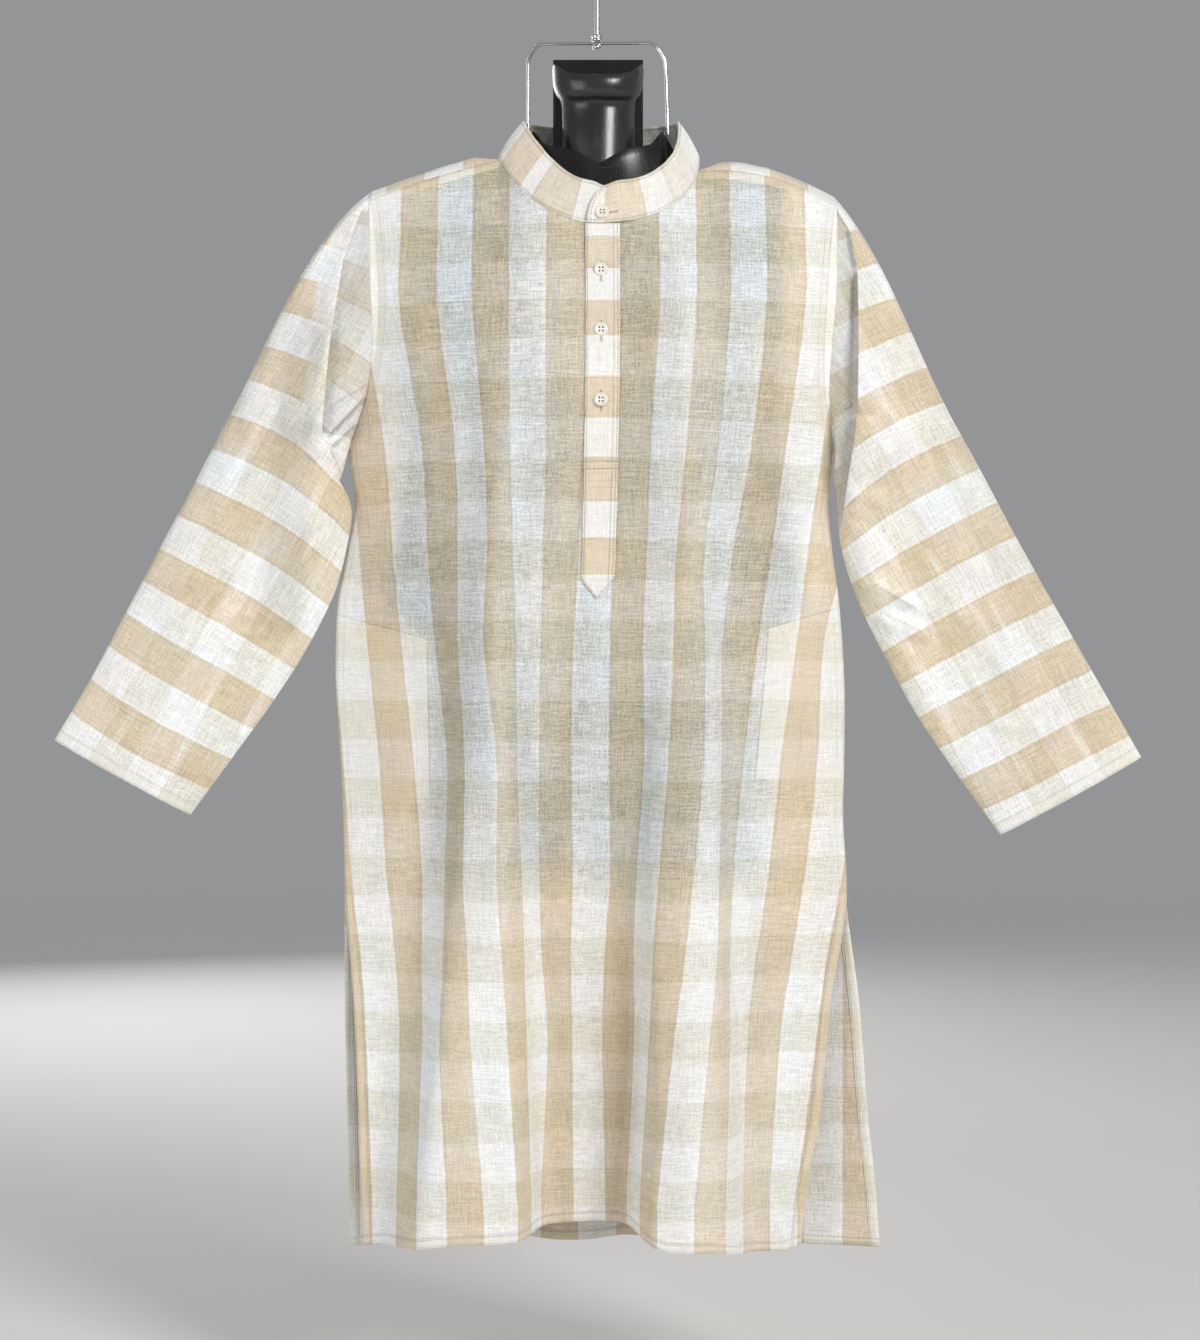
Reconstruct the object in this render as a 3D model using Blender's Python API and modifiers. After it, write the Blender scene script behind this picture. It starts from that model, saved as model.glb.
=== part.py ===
"""A long-sleeved kurta tunic hanging on a limbless half-torso form.

The tunic is cut from striped check cloth: a front, a back that comes over the shoulders to
a forward shoulder seam, two sleeves, a band collar, a closed front placket with buttons, and
two side-seam pocket bags.  It hangs on a moulded form that is open at the back, carried by a
wire bail and a hook.  Z = 0 is where the hook bears on its rail; the front faces -Y.
Heights in the tables are in millimetres above the lowest point of the back hem.
"""

import bpy
import bmesh
from math import ceil, cos, exp, pi, radians, sin, tanh
from mathutils import Vector

MM = 0.001
CLOTH = 1.2                  # a body or sleeve wall
COLLAR_CLOTH = 1.8           # two layers and their stiffener
PLACKET_CLOTH = 1.5
POCKET_CLOTH = 1.6           # both layers of a pocket bag, pressed flat
SEAM = 0.3                   # clear distance between sewn pieces
SIDE_GAP = 2.75              # between the outer faces of front and back at a side seam
SHOULDER_GAP = 2.0
ARMHOLE_GAP = 1.7
FORM_WALL = 3.0
NECK_WALL = 2.5

WIRE_R = 1.6                 # the bail
HOOK_R = 2.2                 # the hook's rod
HOOK_BEND = 18.0             # centre line of the hook's bend
BAR_HEIGHT = 1124.5          # the bail's top bar
BAIL_LEG = 65.4              # from the middle out to each leg
BAIL_FOOT = 1040.0           # where the legs meet the form's shoulders
BEND_CENTRE = 1198.0         # the middle of the hook's bend
RAIL_HEIGHT = BEND_CENTRE + HOOK_BEND - HOOK_R

# The front's two edges and its depth.  From the underarm up, the edges are the armholes.
# height, left x, right x, left depth, right depth, centre depth
FRONT_SECTIONS = (
    (0, -217, 188, -12, -22, -20),
    (64, -220, 195, -11, -20, -24),
    (120, -222, 206, -10, -17, -28),
    (232, -227, 218, -7, -11, -38),
    (325, -235, 233, -3, -2, -48),
    (400, -237, 230, 0, 0, -58),
    (460, -240, 231, 0, 0, -66),
    (530, -244, 231, 0, 0, -77),
    (605, -242, 226, 0, 0, -87),
    (650, -234, 220, 0, 0, -94),
    (700, -226, 217, 0, 0, -100),
    (748, -232, 220, -2, -2, -104),
    (770, -224, 217, -14, -14, -105),
    (800, -213, 212, -27, -27, -105),
    (840, -204, 211, -38, -38, -102),
    (880, -202, 213, -44, -44, -94),
    (920, -204, 216, -42, -42, -82),
    (948, -207, 219, -36, -36, -74),
    (975, -211, 222, -27, -27, -72),
)
# The back's edges and its depth, to where it turns over the shoulders.
BACK_SECTIONS = (
    (0, -232, 265, 10, 4, 36),
    (64, -233.5, 260, 10, 4, 38),
    (120, -234.5, 254, 9, 4, 39),
    (232, -236.5, 245, 6, 3, 42),
    (325, -236, 233, 2, 1, 44),
    (400, -237, 230, 0, 0, 45),
    (460, -240, 231, 0, 0, 45),
    (530, -244, 231, 0, 0, 45),
    (605, -242, 226, 0, 0, 46),
    (650, -234, 220, 0, 0, 47),
    (700, -226, 217, 0, 0, 48),
    (748, -232, 220, 2, 2, 50),
    (770, -223, 216, 13, 13, 51),
    (800, -211, 210, 23, 23, 52),
    (840, -202, 209, 30, 30, 52),
    (880, -200, 211, 34, 34, 51),
    (930, -203, 215, 33, 33, 48),
)
UNDERARM = 748
TURN_HEIGHT = 930            # above this the back turns over the shoulders
BACK_TURN = 0.74             # the share of the back's rows below that

# Steps in the front's depth, where the cloth hangs in long folds.  A step is the change
# of depth from left to right across the fold's flank, and away from the viewer is more.
# fold, height, x of the flank, half-width, step
FRONT_FOLDS = (
    ("left_outer", 720, -120, 26, 0),
    ("left_outer", 568, -126, 20, -30),
    ("left_outer", 456, -131, 14, -33),
    ("left_outer", 344, -139, 15, -42),
    ("left_outer", 200, -155, 16, -58),
    ("left_outer", 0, -186, 24, -66),
    ("left_inner", 760, -80, 20, 0),
    ("left_inner", 568, -65, 12, 26),
    ("left_inner", 456, -68, 16, 36),
    ("left_inner", 344, -70, 15, 46),
    ("left_inner", 200, -62, 15, 66),
    ("left_inner", 0, -60, 10, 76),
    ("right_inner", 700, 70, 20, 0),
    ("right_inner", 568, 56, 16, -20),
    ("right_inner", 456, 51, 14, -28),
    ("right_inner", 344, 40, 18, -42),
    ("right_inner", 200, 45, 14, -60),
    ("right_inner", 0, 36, 17, -82),
    ("right_outer", 700, 100, 20, 0),
    ("right_outer", 568, 107, 10, 26),
    ("right_outer", 456, 115, 14, 40),
    ("right_outer", 344, 118, 13, 48),
    ("right_outer", 200, 121, 15, 52),
    ("right_outer", 0, 134, 20, 62),
)
# Soft ridges of the back, which fall free below the shoulders.
# ridge, height, x, half-width, rise
BACK_FOLDS = (
    ("outer_left", 700, -150, 34, 0),
    ("outer_left", 350, -158, 30, 9),
    ("outer_left", 0, -168, 26, 20),
    ("inner_left", 780, -60, 34, 0),
    ("inner_left", 350, -70, 28, 12),
    ("inner_left", 0, -76, 24, 27),
    ("inner_right", 740, 40, 32, 0),
    ("inner_right", 350, 34, 30, 10),
    ("inner_right", 0, 28, 26, 24),
    ("outer_right", 700, 140, 34, 0),
    ("outer_right", 350, 138, 28, 11),
    ("outer_right", 0, 146, 24, 25),
)
# The front hem: x, height.  It rides up in the fold at the middle.
FRONT_HEM = (
    (-217, 6), (-184, 10), (-147, 17), (-100, 20), (-58, 23), (-10, 27), (30, 25), (62, 14), (110, 12),
    (140, 4), (172, 2), (188, 8),
)
FRONT_COLUMNS = 36
FRONT_ROWS = 24
BACK_COLUMNS = 26
BACK_ROWS = 24
EASE_FROM = 0.72             # the share of the front's rise where its columns close in on the neck
PROFILE_POWER = 2.1          # how square the front and back are across
SHOULDER_ROUND = 150.0       # how far down the front the shoulder rounds off

# The neck seam and the collar's top edge, as rings round the neck.
# x of the middle, half-width, y of the middle, half-depth, height at the side
NECK_RING = (2.0, 93.0, -12.0, 60.0, 1018.0)
COLLAR_RING = (3.5, 73.0, -9.0, 56.0, 1051.0)
NECK_DROP = 72.0             # how much lower the neck seam is at the front
COLLAR_DROP = 70.0
BACK_RISE = 4.0
LEFT_DIP = 1.5               # how late the drop comes, left and right of the middle
RIGHT_DIP = 0.88
SEAM_ANGLE = 80.0            # where the shoulder seam meets the neck, from the front
NECK_SHARE = 0.43            # the neckline's share of the front's half-width
SHOULDER_TIPS = ((-211.0, -27.0, 975.0), (222.0, -27.0, 969.0))
SHOULDER_ARCH = (2.0, 11.0)  # how far each shoulder seam bows up
# How the back comes down to its upper edge: the pull of its crest, at the neck, beside
# the neck and out at the shoulder.
BACK_CREST_REACH = 26.0
BACK_CREST_NECK = 16.0
BACK_CREST = (8.0, -28.0, 30.0, -16.0)   # plain height, then what each place adds
BACK_CREST_FOOT = 60.0

COLLAR_UNDER_END = 7.0       # degrees past the middle front, the end beneath
COLLAR_OVER_TOP = 3.5        # degrees short of the middle front, the top of the end on top
COLLAR_OVER_FOOT = -7.0      # and its foot
COLLAR_LAP = 3.2             # how far the end on top stands out
COLLAR_STAND = 1.5           # the collar's foot above the neck seam
COLLAR_BELLY = 1.5           # how far its middle swells out
COLLAR_COLUMNS = 44
COLLAR_ROWS = 3

# The placket: height, left x, right x.
PLACKET = ((950, -10.5, 20.5), (800, -10.5, 20.5), (640, -13.5, 16.5), (622, -14.5, 15.5))
PLACKET_TIP = 604.0
PLACKET_PLACES = (-0.06, 0.065)   # the front's columns that run under the placket
BUTTON_R = 6.3
BUTTON_THICK = 2.4
BUTTON_STAND = 0.5           # its back above the cloth
BUTTON_HOLE_R = 0.9
BUTTON_HOLE_RING = 1.9
BUTTON_HEIGHTS = (901.0, 845.0, 782.0)
BUTTON_X = 3.8
COLLAR_BUTTON_ANGLE = 1.5
COLLAR_BUTTON_RISE = 0.24    # share of the way up the collar

# Pocket bags, inside the front: inner x at the top and foot, then heights at the side
# seam and at the inner edge, top and foot.
POCKETS = {
    "right": (-156.0, -154.0, 590.0, 568.0, 410.0, 422.0),
    "left": (158.0, 146.0, 598.0, 578.0, 425.0, 438.0),
}
POCKET_SEAM = 6.0            # the bag's clearance from the side seam

# Sleeves: distance down the sleeve from the shoulder tip, outer and inner edge across it,
# front and back depth.  Then where the axis starts, how it leans, and how steeply the
# crown leaves the shoulder.
SLEEVES = {
    "right": {
        "start": (-237.2, 963.9), "lean": 28.9, "side": -1, "crown": 0.7,
        "rows": (
            (222, -2, 117, 34, 26), (262, -1, 149, 31, 24), (315, 0, 163, 27, 21), (370, 1, 166, 25, 19),
            (430, 2, 162, 22, 17), (495, 3, 154, 19, 15), (558, 1, 146, 15, 13),
        ),
    },
    "left": {
        "start": (240.0, 960.0), "lean": 28.9, "side": 1, "crown": 1.1,
        "rows": (
            (212, 10, 136, 34, 26), (260, 10, 158, 31, 24), (315, 11, 169, 27, 21), (375, 11, 172, 25, 19),
            (435, 10, 172, 22, 17), (500, 9, 166, 19, 15), (568, 8, 158, 15, 13),
        ),
    },
}

SLEEVE_COLUMNS = 22
SLEEVE_ROWS = 16
SLEEVE_HEAD = 0.42           # the share of the sleeve's rise that runs from the tube to the armhole
SLEEVE_PULL = 0.9            # how far the head keeps the direction it leaves in
SLEEVE_DEPTH = -4.0          # y of the sleeve's axis

# The form: height, half-width, front depth, back depth.
FORM_SECTIONS = (
    (345, 166, -32, 8),
    (450, 162, -50, 8),
    (560, 156, -68, 8),
    (650, 160, -80, 9),
    (740, 168, -90, 10),
    (800, 170, -90, 12),
    (870, 164, -80, 14),
    (905, 158, -72, 15),
)
FORM_TURN = 905              # above this the form rounds over to its shoulders and neck
FORM_TURN_RISE = 0.8         # the share of the form's rows below that
FORM_COLUMNS = 24
FORM_ROWS = 14
FORM_X = -3.0
# The edge of the form's neck: angle from the front, height.
FORM_NECK_EDGE = ((0, 1004), (24, 1018), (52, 1025), (72, 1038), (100, 1043))
FORM_NECK = (1.0, 62.0, -8.0, 40.0)
FORM_TIP = (172.0, 6.0)
# The crest of the form's shoulder: share of the way out from the neck, height.
FORM_SHOULDER = ((0, 1043), (0.12, 1021), (0.28, 1002.6), (0.5, 1000), (0.8, 992), (1, 983))
FORM_NECK_SHARE = 0.42

# The form's neck block: height, half-width, front y.
NECK_BLOCK = (
    (990, 34, -45.7), (1030, 35, -42), (1062, 36, -39), (1070, 38, -41), (1078, 41, -45), (1086, 42.5, -47),
)
NECK_BLOCK_X = 1.0
NECK_BLOCK_BACK = -1.0
NECK_HORN_RISE = 17.0
NECK_COLUMNS = 14
NECK_ROWS = 8
PLATE = (42.0, 1000.0, 1110.0, 2.5)      # half-width, foot, top, thickness
SWIVEL_R = 5.0
SWIVEL_THICK = 6.0
SWIVEL_STAND = 0.9           # between the bail's bar and the swivel
NUT_THICK = 3.4
HOOK_START = -72.0           # degrees round the bend from +X, where the hook's bend starts
HOOK_FINISH = 185.0
HOOK_STEPS = 20


def mm(x, y, height):
    """A point in metres from millimetres, with the height counted from the hem."""
    return Vector((x * MM, y * MM, (height - RAIL_HEIGHT) * MM))


def smooth(value):
    """An even step from 0 to 1."""
    value = min(1.0, max(0.0, value))
    return value * value * (3 - 2 * value)


def along(rows, key, column):
    """A column of a table read at key, on a smooth curve through its rows."""
    rows = sorted(rows)
    if key <= rows[0][0]:
        return rows[0][column]
    if key >= rows[-1][0]:
        return rows[-1][column]
    spot = max(i for i, row in enumerate(rows) if row[0] <= key)
    low, high = rows[spot], rows[spot + 1]
    span = high[0] - low[0]
    part = (key - low[0]) / span
    before = rows[max(0, spot - 1)]
    after = rows[min(len(rows) - 1, spot + 2)]
    start = (high[column] - before[column]) / (high[0] - before[0]) * span
    finish = (after[column] - low[column]) / (after[0] - low[0]) * span
    return (
        low[column] * (1 + 2 * part) * (1 - part) ** 2
        + start * part * (1 - part) ** 2
        + high[column] * part * part * (3 - 2 * part)
        - finish * part * part * (1 - part)
    )


def fold_rows(folds):
    """The rows of each fold, without its name."""
    named = {}
    for name, *row in folds:
        named.setdefault(name, []).append(row)
    return named


FRONT_FOLD_ROWS = fold_rows(FRONT_FOLDS)
BACK_FOLD_ROWS = fold_rows(BACK_FOLDS)


def across(sections, x, height):
    """Where x lies between a section's two edges, from -1 to 1."""
    left, right = along(sections, height, 1), along(sections, height, 2)
    return min(1.0, max(-1.0, (2 * x - left - right) / (right - left)))


def section_depth(sections, x, height):
    """The plain rounded depth of the front or back, without its folds."""
    place = across(sections, x, height)
    edge = along(sections, height, 3) * (1 - place) / 2 + along(sections, height, 4) * (1 + place) / 2
    return edge + (along(sections, height, 5) - edge) * (1 - abs(place) ** PROFILE_POWER)


def front_depth(x, height):
    """The front's depth with its folds, which cancel out at both edges."""
    shift, total = 0.0, 0.0
    for rows in FRONT_FOLD_ROWS.values():
        step = along(rows, height, 3)
        shift += step * (1 + tanh((x - along(rows, height, 1)) / along(rows, height, 2))) / 2
        total += step
    place = across(FRONT_SECTIONS, x, height)
    fade = 1 - abs(place) ** 8
    return section_depth(FRONT_SECTIONS, x, height) + (shift - total * (1 + place) / 2) * fade


def back_depth(x, height):
    """The back's depth with its soft ridges."""
    rise = 0.0
    for rows in BACK_FOLD_ROWS.values():
        rise += along(rows, height, 3) * exp(-(((x - along(rows, height, 1)) / along(rows, height, 2)) ** 2))
    fade = 1 - abs(across(BACK_SECTIONS, x, height)) ** 8
    return section_depth(BACK_SECTIONS, x, height) + rise * fade


def ring_point(ring, drop, angle):
    """A point of the neck seam or the collar's top, at an angle from the middle front."""
    middle_x, half_width, middle_y, half_depth, side_height = ring
    turn = radians(angle)
    forward = cos(turn)
    dip = LEFT_DIP if sin(turn) < 0 else RIGHT_DIP
    height = side_height + BACK_RISE * max(0.0, -forward) - drop * max(0.0, forward) ** dip
    return middle_x + half_width * sin(turn), middle_y - half_depth * forward, height


def shoulder_seam(side, part):
    """A point of the forward shoulder seam, from the neck (0) to the armhole (1)."""
    start = ring_point(NECK_RING, NECK_DROP, side * SEAM_ANGLE)
    number = 0 if side < 0 else 1
    x, y, height = (a + (b - a) * part for a, b in zip(start, SHOULDER_TIPS[number]))
    return x, y, height + SHOULDER_ARCH[number] * sin(pi * part)


def top_edge(place, back):
    """The upper edge of the front or back at a column's place, from -1 to 1."""
    side = -1 if place < 0 else 1
    share = abs(place) / NECK_SHARE
    if share <= 1:
        if back:
            return ring_point(NECK_RING, NECK_DROP, side * (180 - (180 - SEAM_ANGLE) * share))
        return ring_point(NECK_RING, NECK_DROP, side * SEAM_ANGLE * share)
    return shoulder_seam(side, (abs(place) - NECK_SHARE) / (1 - NECK_SHARE))


def front_point(place, rise):
    """A point of the front's outer face: place from -1 to 1 across, rise from hem to top."""
    top_x, top_y, top_height = top_edge(place, False)
    foot = along(FRONT_HEM, along(FRONT_SECTIONS, 0, 1) * (1 - place) / 2
                 + along(FRONT_SECTIONS, 0, 2) * (1 + place) / 2, 1)
    height = foot + (top_height - foot) * rise
    left, right = along(FRONT_SECTIONS, height, 1), along(FRONT_SECTIONS, height, 2)
    x = left * (1 - place) / 2 + right * (1 + place) / 2
    x += (top_x - x) * smooth((rise - EASE_FROM) / (1 - EASE_FROM))
    near_top = min(1.0, (top_height - height) / SHOULDER_ROUND)
    depth = top_y + (front_depth(x, height) - top_y) * (1 - (1 - near_top) ** 2.2)
    return x, depth, height


def back_point(place, rise):
    """A point of the back's outer face, over the shoulder to the forward seam."""
    height = TURN_HEIGHT * min(1.0, rise / BACK_TURN)
    left, right = along(BACK_SECTIONS, height, 1), along(BACK_SECTIONS, height, 2)
    x = left * (1 - place) / 2 + right * (1 + place) / 2
    depth = SIDE_GAP + back_depth(x, height)
    if rise <= BACK_TURN:
        return x, depth, height
    part = (rise - BACK_TURN) / (1 - BACK_TURN)
    end_x, end_y, end_height = top_edge(place, True)
    share = abs(place) / NECK_SHARE
    neck = smooth((1 - share) / 0.7)
    beside = smooth((share - 0.95) / 0.35)
    out = max(0.0, abs(place) - NECK_SHARE) / (1 - NECK_SHARE)
    if abs(place) > NECK_SHARE * 0.999:
        end_y += SHOULDER_GAP * 0.8
        end_height += SHOULDER_GAP * 0.6
    plain, at_neck, at_side, at_tip = BACK_CREST
    crest = plain + at_neck * neck + at_side * beside + at_tip * out
    points = (
        (x, depth, height),
        (x, depth - 2, height + BACK_CREST_FOOT),
        (end_x, end_y + BACK_CREST_REACH - BACK_CREST_NECK * neck, end_height + crest),
        (end_x, end_y, end_height),
    )
    weights = ((1 - part) ** 3, 3 * part * (1 - part) ** 2, 3 * part * part * (1 - part), part ** 3)
    return tuple(sum(w * p[axis] for w, p in zip(weights, points)) for axis in range(3))


def resample(points, count):
    """The same polyline with count even steps."""
    lengths = [0.0]
    for a, b in zip(points, points[1:]):
        lengths.append(lengths[-1] + (Vector(b) - Vector(a)).length)
    result = []
    spot = 0
    for step in range(count + 1):
        want = lengths[-1] * step / count
        while spot < len(points) - 2 and lengths[spot + 1] < want:
            spot += 1
        part = (want - lengths[spot]) / (lengths[spot + 1] - lengths[spot])
        result.append(Vector(points[spot]).lerp(Vector(points[spot + 1]), part))
    return result


def armhole(side, half_count):
    """The armhole as a ring: from the ridge down the front to the underarm, and up the back."""
    fine = 60
    foot = along(FRONT_HEM, SHOULDER_TIPS[0 if side < 0 else 1][0], 1)
    front_start = (UNDERARM - foot) / (SHOULDER_TIPS[0 if side < 0 else 1][2] - foot)
    front = [front_point(side, 1 - (1 - front_start) * i / fine) for i in range(fine + 1)]
    back_start = UNDERARM / TURN_HEIGHT * BACK_TURN
    back = [back_point(side, back_start + (1 - back_start) * i / fine) for i in range(fine + 1)]
    ridge = max(range(fine + 1), key=lambda i: back[i][2])
    down = resample(back[ridge:] + front, half_count)
    up = resample([front[-1]] + back[: ridge + 1], half_count)
    return down[:-1] + up[:-1]


def lens(angle, front, back):
    """Across and depth on a flattened sleeve's section: 0 is the outer edge."""
    spread = cos(angle)
    depth = front if sin(angle) > 0 else back
    return spread, -abs(sin(angle)) ** 1.3 * depth * (1 if sin(angle) > 0 else -1)


def sleeve_ring(sleeve, distance, count):
    """The ring of points at a distance down the sleeve."""
    lean = radians(sleeve["lean"])
    side = sleeve["side"]
    outer, inner, front, back = (along(sleeve["rows"], distance, column) for column in (1, 2, 3, 4))
    ring = []
    for step in range(count):
        spread, depth = lens(2 * pi * step / count, front, back)
        over = (outer + inner) / 2 - spread * (inner - outer) / 2
        x = sleeve["start"][0] + side * (distance * sin(lean) - over * cos(lean))
        height = sleeve["start"][1] - distance * cos(lean) - over * sin(lean)
        ring.append(Vector((x, SLEEVE_DEPTH + depth, height)))
    return ring


def sleeve_surface(name, count):
    """A function for a sleeve's outer face: step round it, and rise from cuff to armhole."""
    sleeve = SLEEVES[name]
    side = sleeve["side"]
    head = armhole(side, count // 2)
    first = sleeve["rows"][0][0]
    last = sleeve["rows"][-1][0]
    ring = sleeve_ring(sleeve, first, count)
    lean = radians(sleeve["lean"])
    axis = Vector((side * sin(lean), 0, -cos(lean)))
    outward = Vector((side, 0, -0.35)).normalized()
    over = Vector((side, 0, -sleeve["crown"])).normalized()

    def point(step, rise):
        step %= count
        if rise <= 1 - SLEEVE_HEAD:
            part = rise / (1 - SLEEVE_HEAD)
            return tuple(sleeve_ring(sleeve, last + (first - last) * part, count)[step])
        part = (1 - rise) / SLEEVE_HEAD
        start = head[step] + outward * ARMHOLE_GAP
        end = ring[step]
        reach = (end - start).length
        under = smooth(1 - abs(step / count * 2 - 1))
        leave = (over * (1 - under) + axis * under).normalized()
        a, b = 1 - part, part
        return tuple(
            start * (a * a * (1 + 2 * b))
            + leave * (reach * SLEEVE_PULL * b * a * a)
            + end * (b * b * (3 - 2 * b))
            - axis * (reach * SLEEVE_PULL * b * b * a)
        )

    return point


def collar_finish(rise):
    """The angle at which the collar's end on top stops."""
    return COLLAR_OVER_TOP * rise + COLLAR_OVER_FOOT * (1 - rise) - 360


def collar_point(turn, rise):
    """A point of the collar's outer face: turn from the end beneath to the end on top."""
    angle = COLLAR_UNDER_END + (collar_finish(rise) - COLLAR_UNDER_END) * turn
    low = Vector(ring_point(NECK_RING, NECK_DROP, angle))
    high = Vector(ring_point(COLLAR_RING, COLLAR_DROP, angle))
    up = (high - low).normalized()
    low += up * COLLAR_STAND
    outward = Vector((sin(radians(angle)), -cos(radians(angle)), 0))
    lap = COLLAR_LAP * smooth((turn - 0.9) / 0.07)
    return tuple(low.lerp(high, rise) + outward * (lap + COLLAR_BELLY * sin(pi * rise)))


def material(name, colour, roughness, metallic=0.0):
    """A plain finish."""
    finish = bpy.data.materials.new(name)
    finish.use_nodes = True
    shader = finish.node_tree.nodes["Principled BSDF"]
    shader.inputs["Base Color"].default_value = (*colour, 1.0)
    shader.inputs["Roughness"].default_value = roughness
    shader.inputs["Metallic"].default_value = metallic
    return finish


def add_object(name, data, finish, collection):
    """A named object in the part's collection."""
    piece = bpy.data.objects.new(name, data)
    data.materials.append(finish)
    collection.objects.link(piece)
    return piece


def sheet(name, point, columns, rows, thickness, finish, collection, flip=False, closed=False):
    """A cloth or shell wall: a grid laid on point(column, row), then given its thickness."""
    bm = bmesh.new()
    bmesh.ops.create_grid(bm, x_segments=columns, y_segments=rows, size=1.0)
    for vert in bm.verts:
        column = round((vert.co.x + 1) / 2 * columns)
        row = round((vert.co.y + 1) / 2 * rows)
        vert.co = mm(*point(column, row))
    if closed:
        bmesh.ops.remove_doubles(bm, verts=bm.verts, dist=0.00001)
    if flip:
        bmesh.ops.reverse_faces(bm, faces=bm.faces)
    mesh = bpy.data.meshes.new(name)
    bm.to_mesh(mesh)
    bm.free()
    mesh.shade_smooth()
    piece = add_object(name, mesh, finish, collection)
    wall = piece.modifiers.new("wall", "SOLIDIFY")
    wall.thickness = thickness * MM
    wall.offset = -1.0
    return piece


def column_places(columns):
    """Places of the columns across the front or back, with one at each end of the neck."""
    neck = round(columns * NECK_SHARE)
    neck += (columns - neck) % 2
    side = (columns - neck) // 2
    places = [-1 + (1 - NECK_SHARE) * i / side for i in range(side)]
    places += [-NECK_SHARE + 2 * NECK_SHARE * i / neck for i in range(neck)]
    places += [NECK_SHARE + (1 - NECK_SHARE) * i / side for i in range(side + 1)]
    return places


def add_body(cloth, collection):
    """The front and the back."""
    places = column_places(FRONT_COLUMNS)
    sheet("front", lambda i, j: front_point(places[i], j / FRONT_ROWS), FRONT_COLUMNS, FRONT_ROWS, CLOTH,
          cloth, collection)
    back_places = column_places(BACK_COLUMNS)
    sheet("back", lambda i, j: back_point(back_places[i], j / BACK_ROWS), BACK_COLUMNS, BACK_ROWS, CLOTH,
          cloth, collection, flip=True)


def add_sleeves(cloth, collection):
    """The two sleeves, as open tubes."""
    for name in SLEEVES:
        point = sleeve_surface(name, SLEEVE_COLUMNS)
        sheet(f"sleeve_{name}", lambda i, j, p=point: p(i, j / SLEEVE_ROWS), SLEEVE_COLUMNS, SLEEVE_ROWS,
              CLOTH, cloth, collection, flip=name == "left", closed=True)


def add_collar(cloth, collection):
    """The band collar, lapped at the front."""
    sheet("collar", lambda i, j: collar_point(i / COLLAR_COLUMNS, j / COLLAR_ROWS), COLLAR_COLUMNS,
          COLLAR_ROWS, COLLAR_CLOTH, cloth, collection, flip=True)


def front_skin(x, height):
    """The point of the front's outer face at an x and a height."""
    low_rise, high_rise = 0.0, 1.0
    place = 0.0
    for _ in range(30):
        rise = (low_rise + high_rise) / 2
        place = across(FRONT_SECTIONS, x, height)
        if rise > EASE_FROM:
            place = place_for(x, rise)
        if front_point(place, rise)[2] < height:
            low_rise = rise
        else:
            high_rise = rise
    return front_point(place, (low_rise + high_rise) / 2)


def place_for(x, rise):
    """The column place whose point has this x at this rise."""
    low, high = -1.0, 1.0
    for _ in range(30):
        middle = (low + high) / 2
        if front_point(middle, rise)[0] < x:
            low = middle
        else:
            high = middle
    return (low + high) / 2


def front_normal(x, height):
    """The front's outward normal over an x and a height."""
    reach = 8.0
    below, above = front_skin(x, height - reach), front_skin(x, height + reach)
    left, right = front_skin(x - reach, height), front_skin(x + reach, height)
    return (Vector(right) - Vector(left)).cross(Vector(above) - Vector(below)).normalized()


def on_front_row(row, x):
    """A point at x on one row of the front's own points."""
    points = [front_point(place, row / FRONT_ROWS) for place in column_places(FRONT_COLUMNS)]
    for a, b in zip(points, points[1:]):
        if a[0] <= x <= b[0]:
            part = (x - a[0]) / (b[0] - a[0])
            return Vector(a).lerp(Vector(b), part)
    raise ValueError("x is off the front")


def front_facet(x, height):
    """The point over an x and a height on the front's own facets."""
    for row in range(FRONT_ROWS):
        low, high = on_front_row(row, x), on_front_row(row + 1, x)
        if low.z <= height <= high.z:
            return low.lerp(high, (height - low.z) / (high.z - low.z))
    raise ValueError("height is off the front")


def add_placket(cloth, collection):
    """The closed placket with its pointed foot, made from the front's points, moved out."""
    places = [p for p in column_places(FRONT_COLUMNS) if PLACKET_PLACES[0] < p < PLACKET_PLACES[1]]
    columns = len(places) + 1
    hem = front_point(0, 0)[2]
    foot_row = ceil((PLACKET[-1][0] - hem) / (front_point(0, 1)[2] - hem) * FRONT_ROWS)
    rows = FRONT_ROWS - foot_row + 1

    def point(column, row):
        tip = row == 0
        at = min(foot_row + max(0, row - 1), FRONT_ROWS - 0.04)
        height = front_point(0, at / FRONT_ROWS)[2]
        left, right = along(PLACKET, height, 1), along(PLACKET, height, 2)
        if column in (0, columns):
            spot = on_front_row(at, left if column == 0 else right)
        else:
            spot = Vector(front_point(places[column - 1], at / FRONT_ROWS))
        if tip:
            share = (spot.x - left) / (right - left)
            below = on_front_row(foot_row - 1, spot.x)
            fall = 4 + (spot.z - PLACKET_TIP) * (1 - abs(2 * share - 1))
            spot = spot.lerp(below, fall / (spot.z - below.z))
        return tuple(spot + front_normal(spot.x, spot.z) * (SEAM + PLACKET_CLOTH + 0.15))

    sheet("placket", point, columns, rows, PLACKET_CLOTH, cloth, collection)


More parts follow.
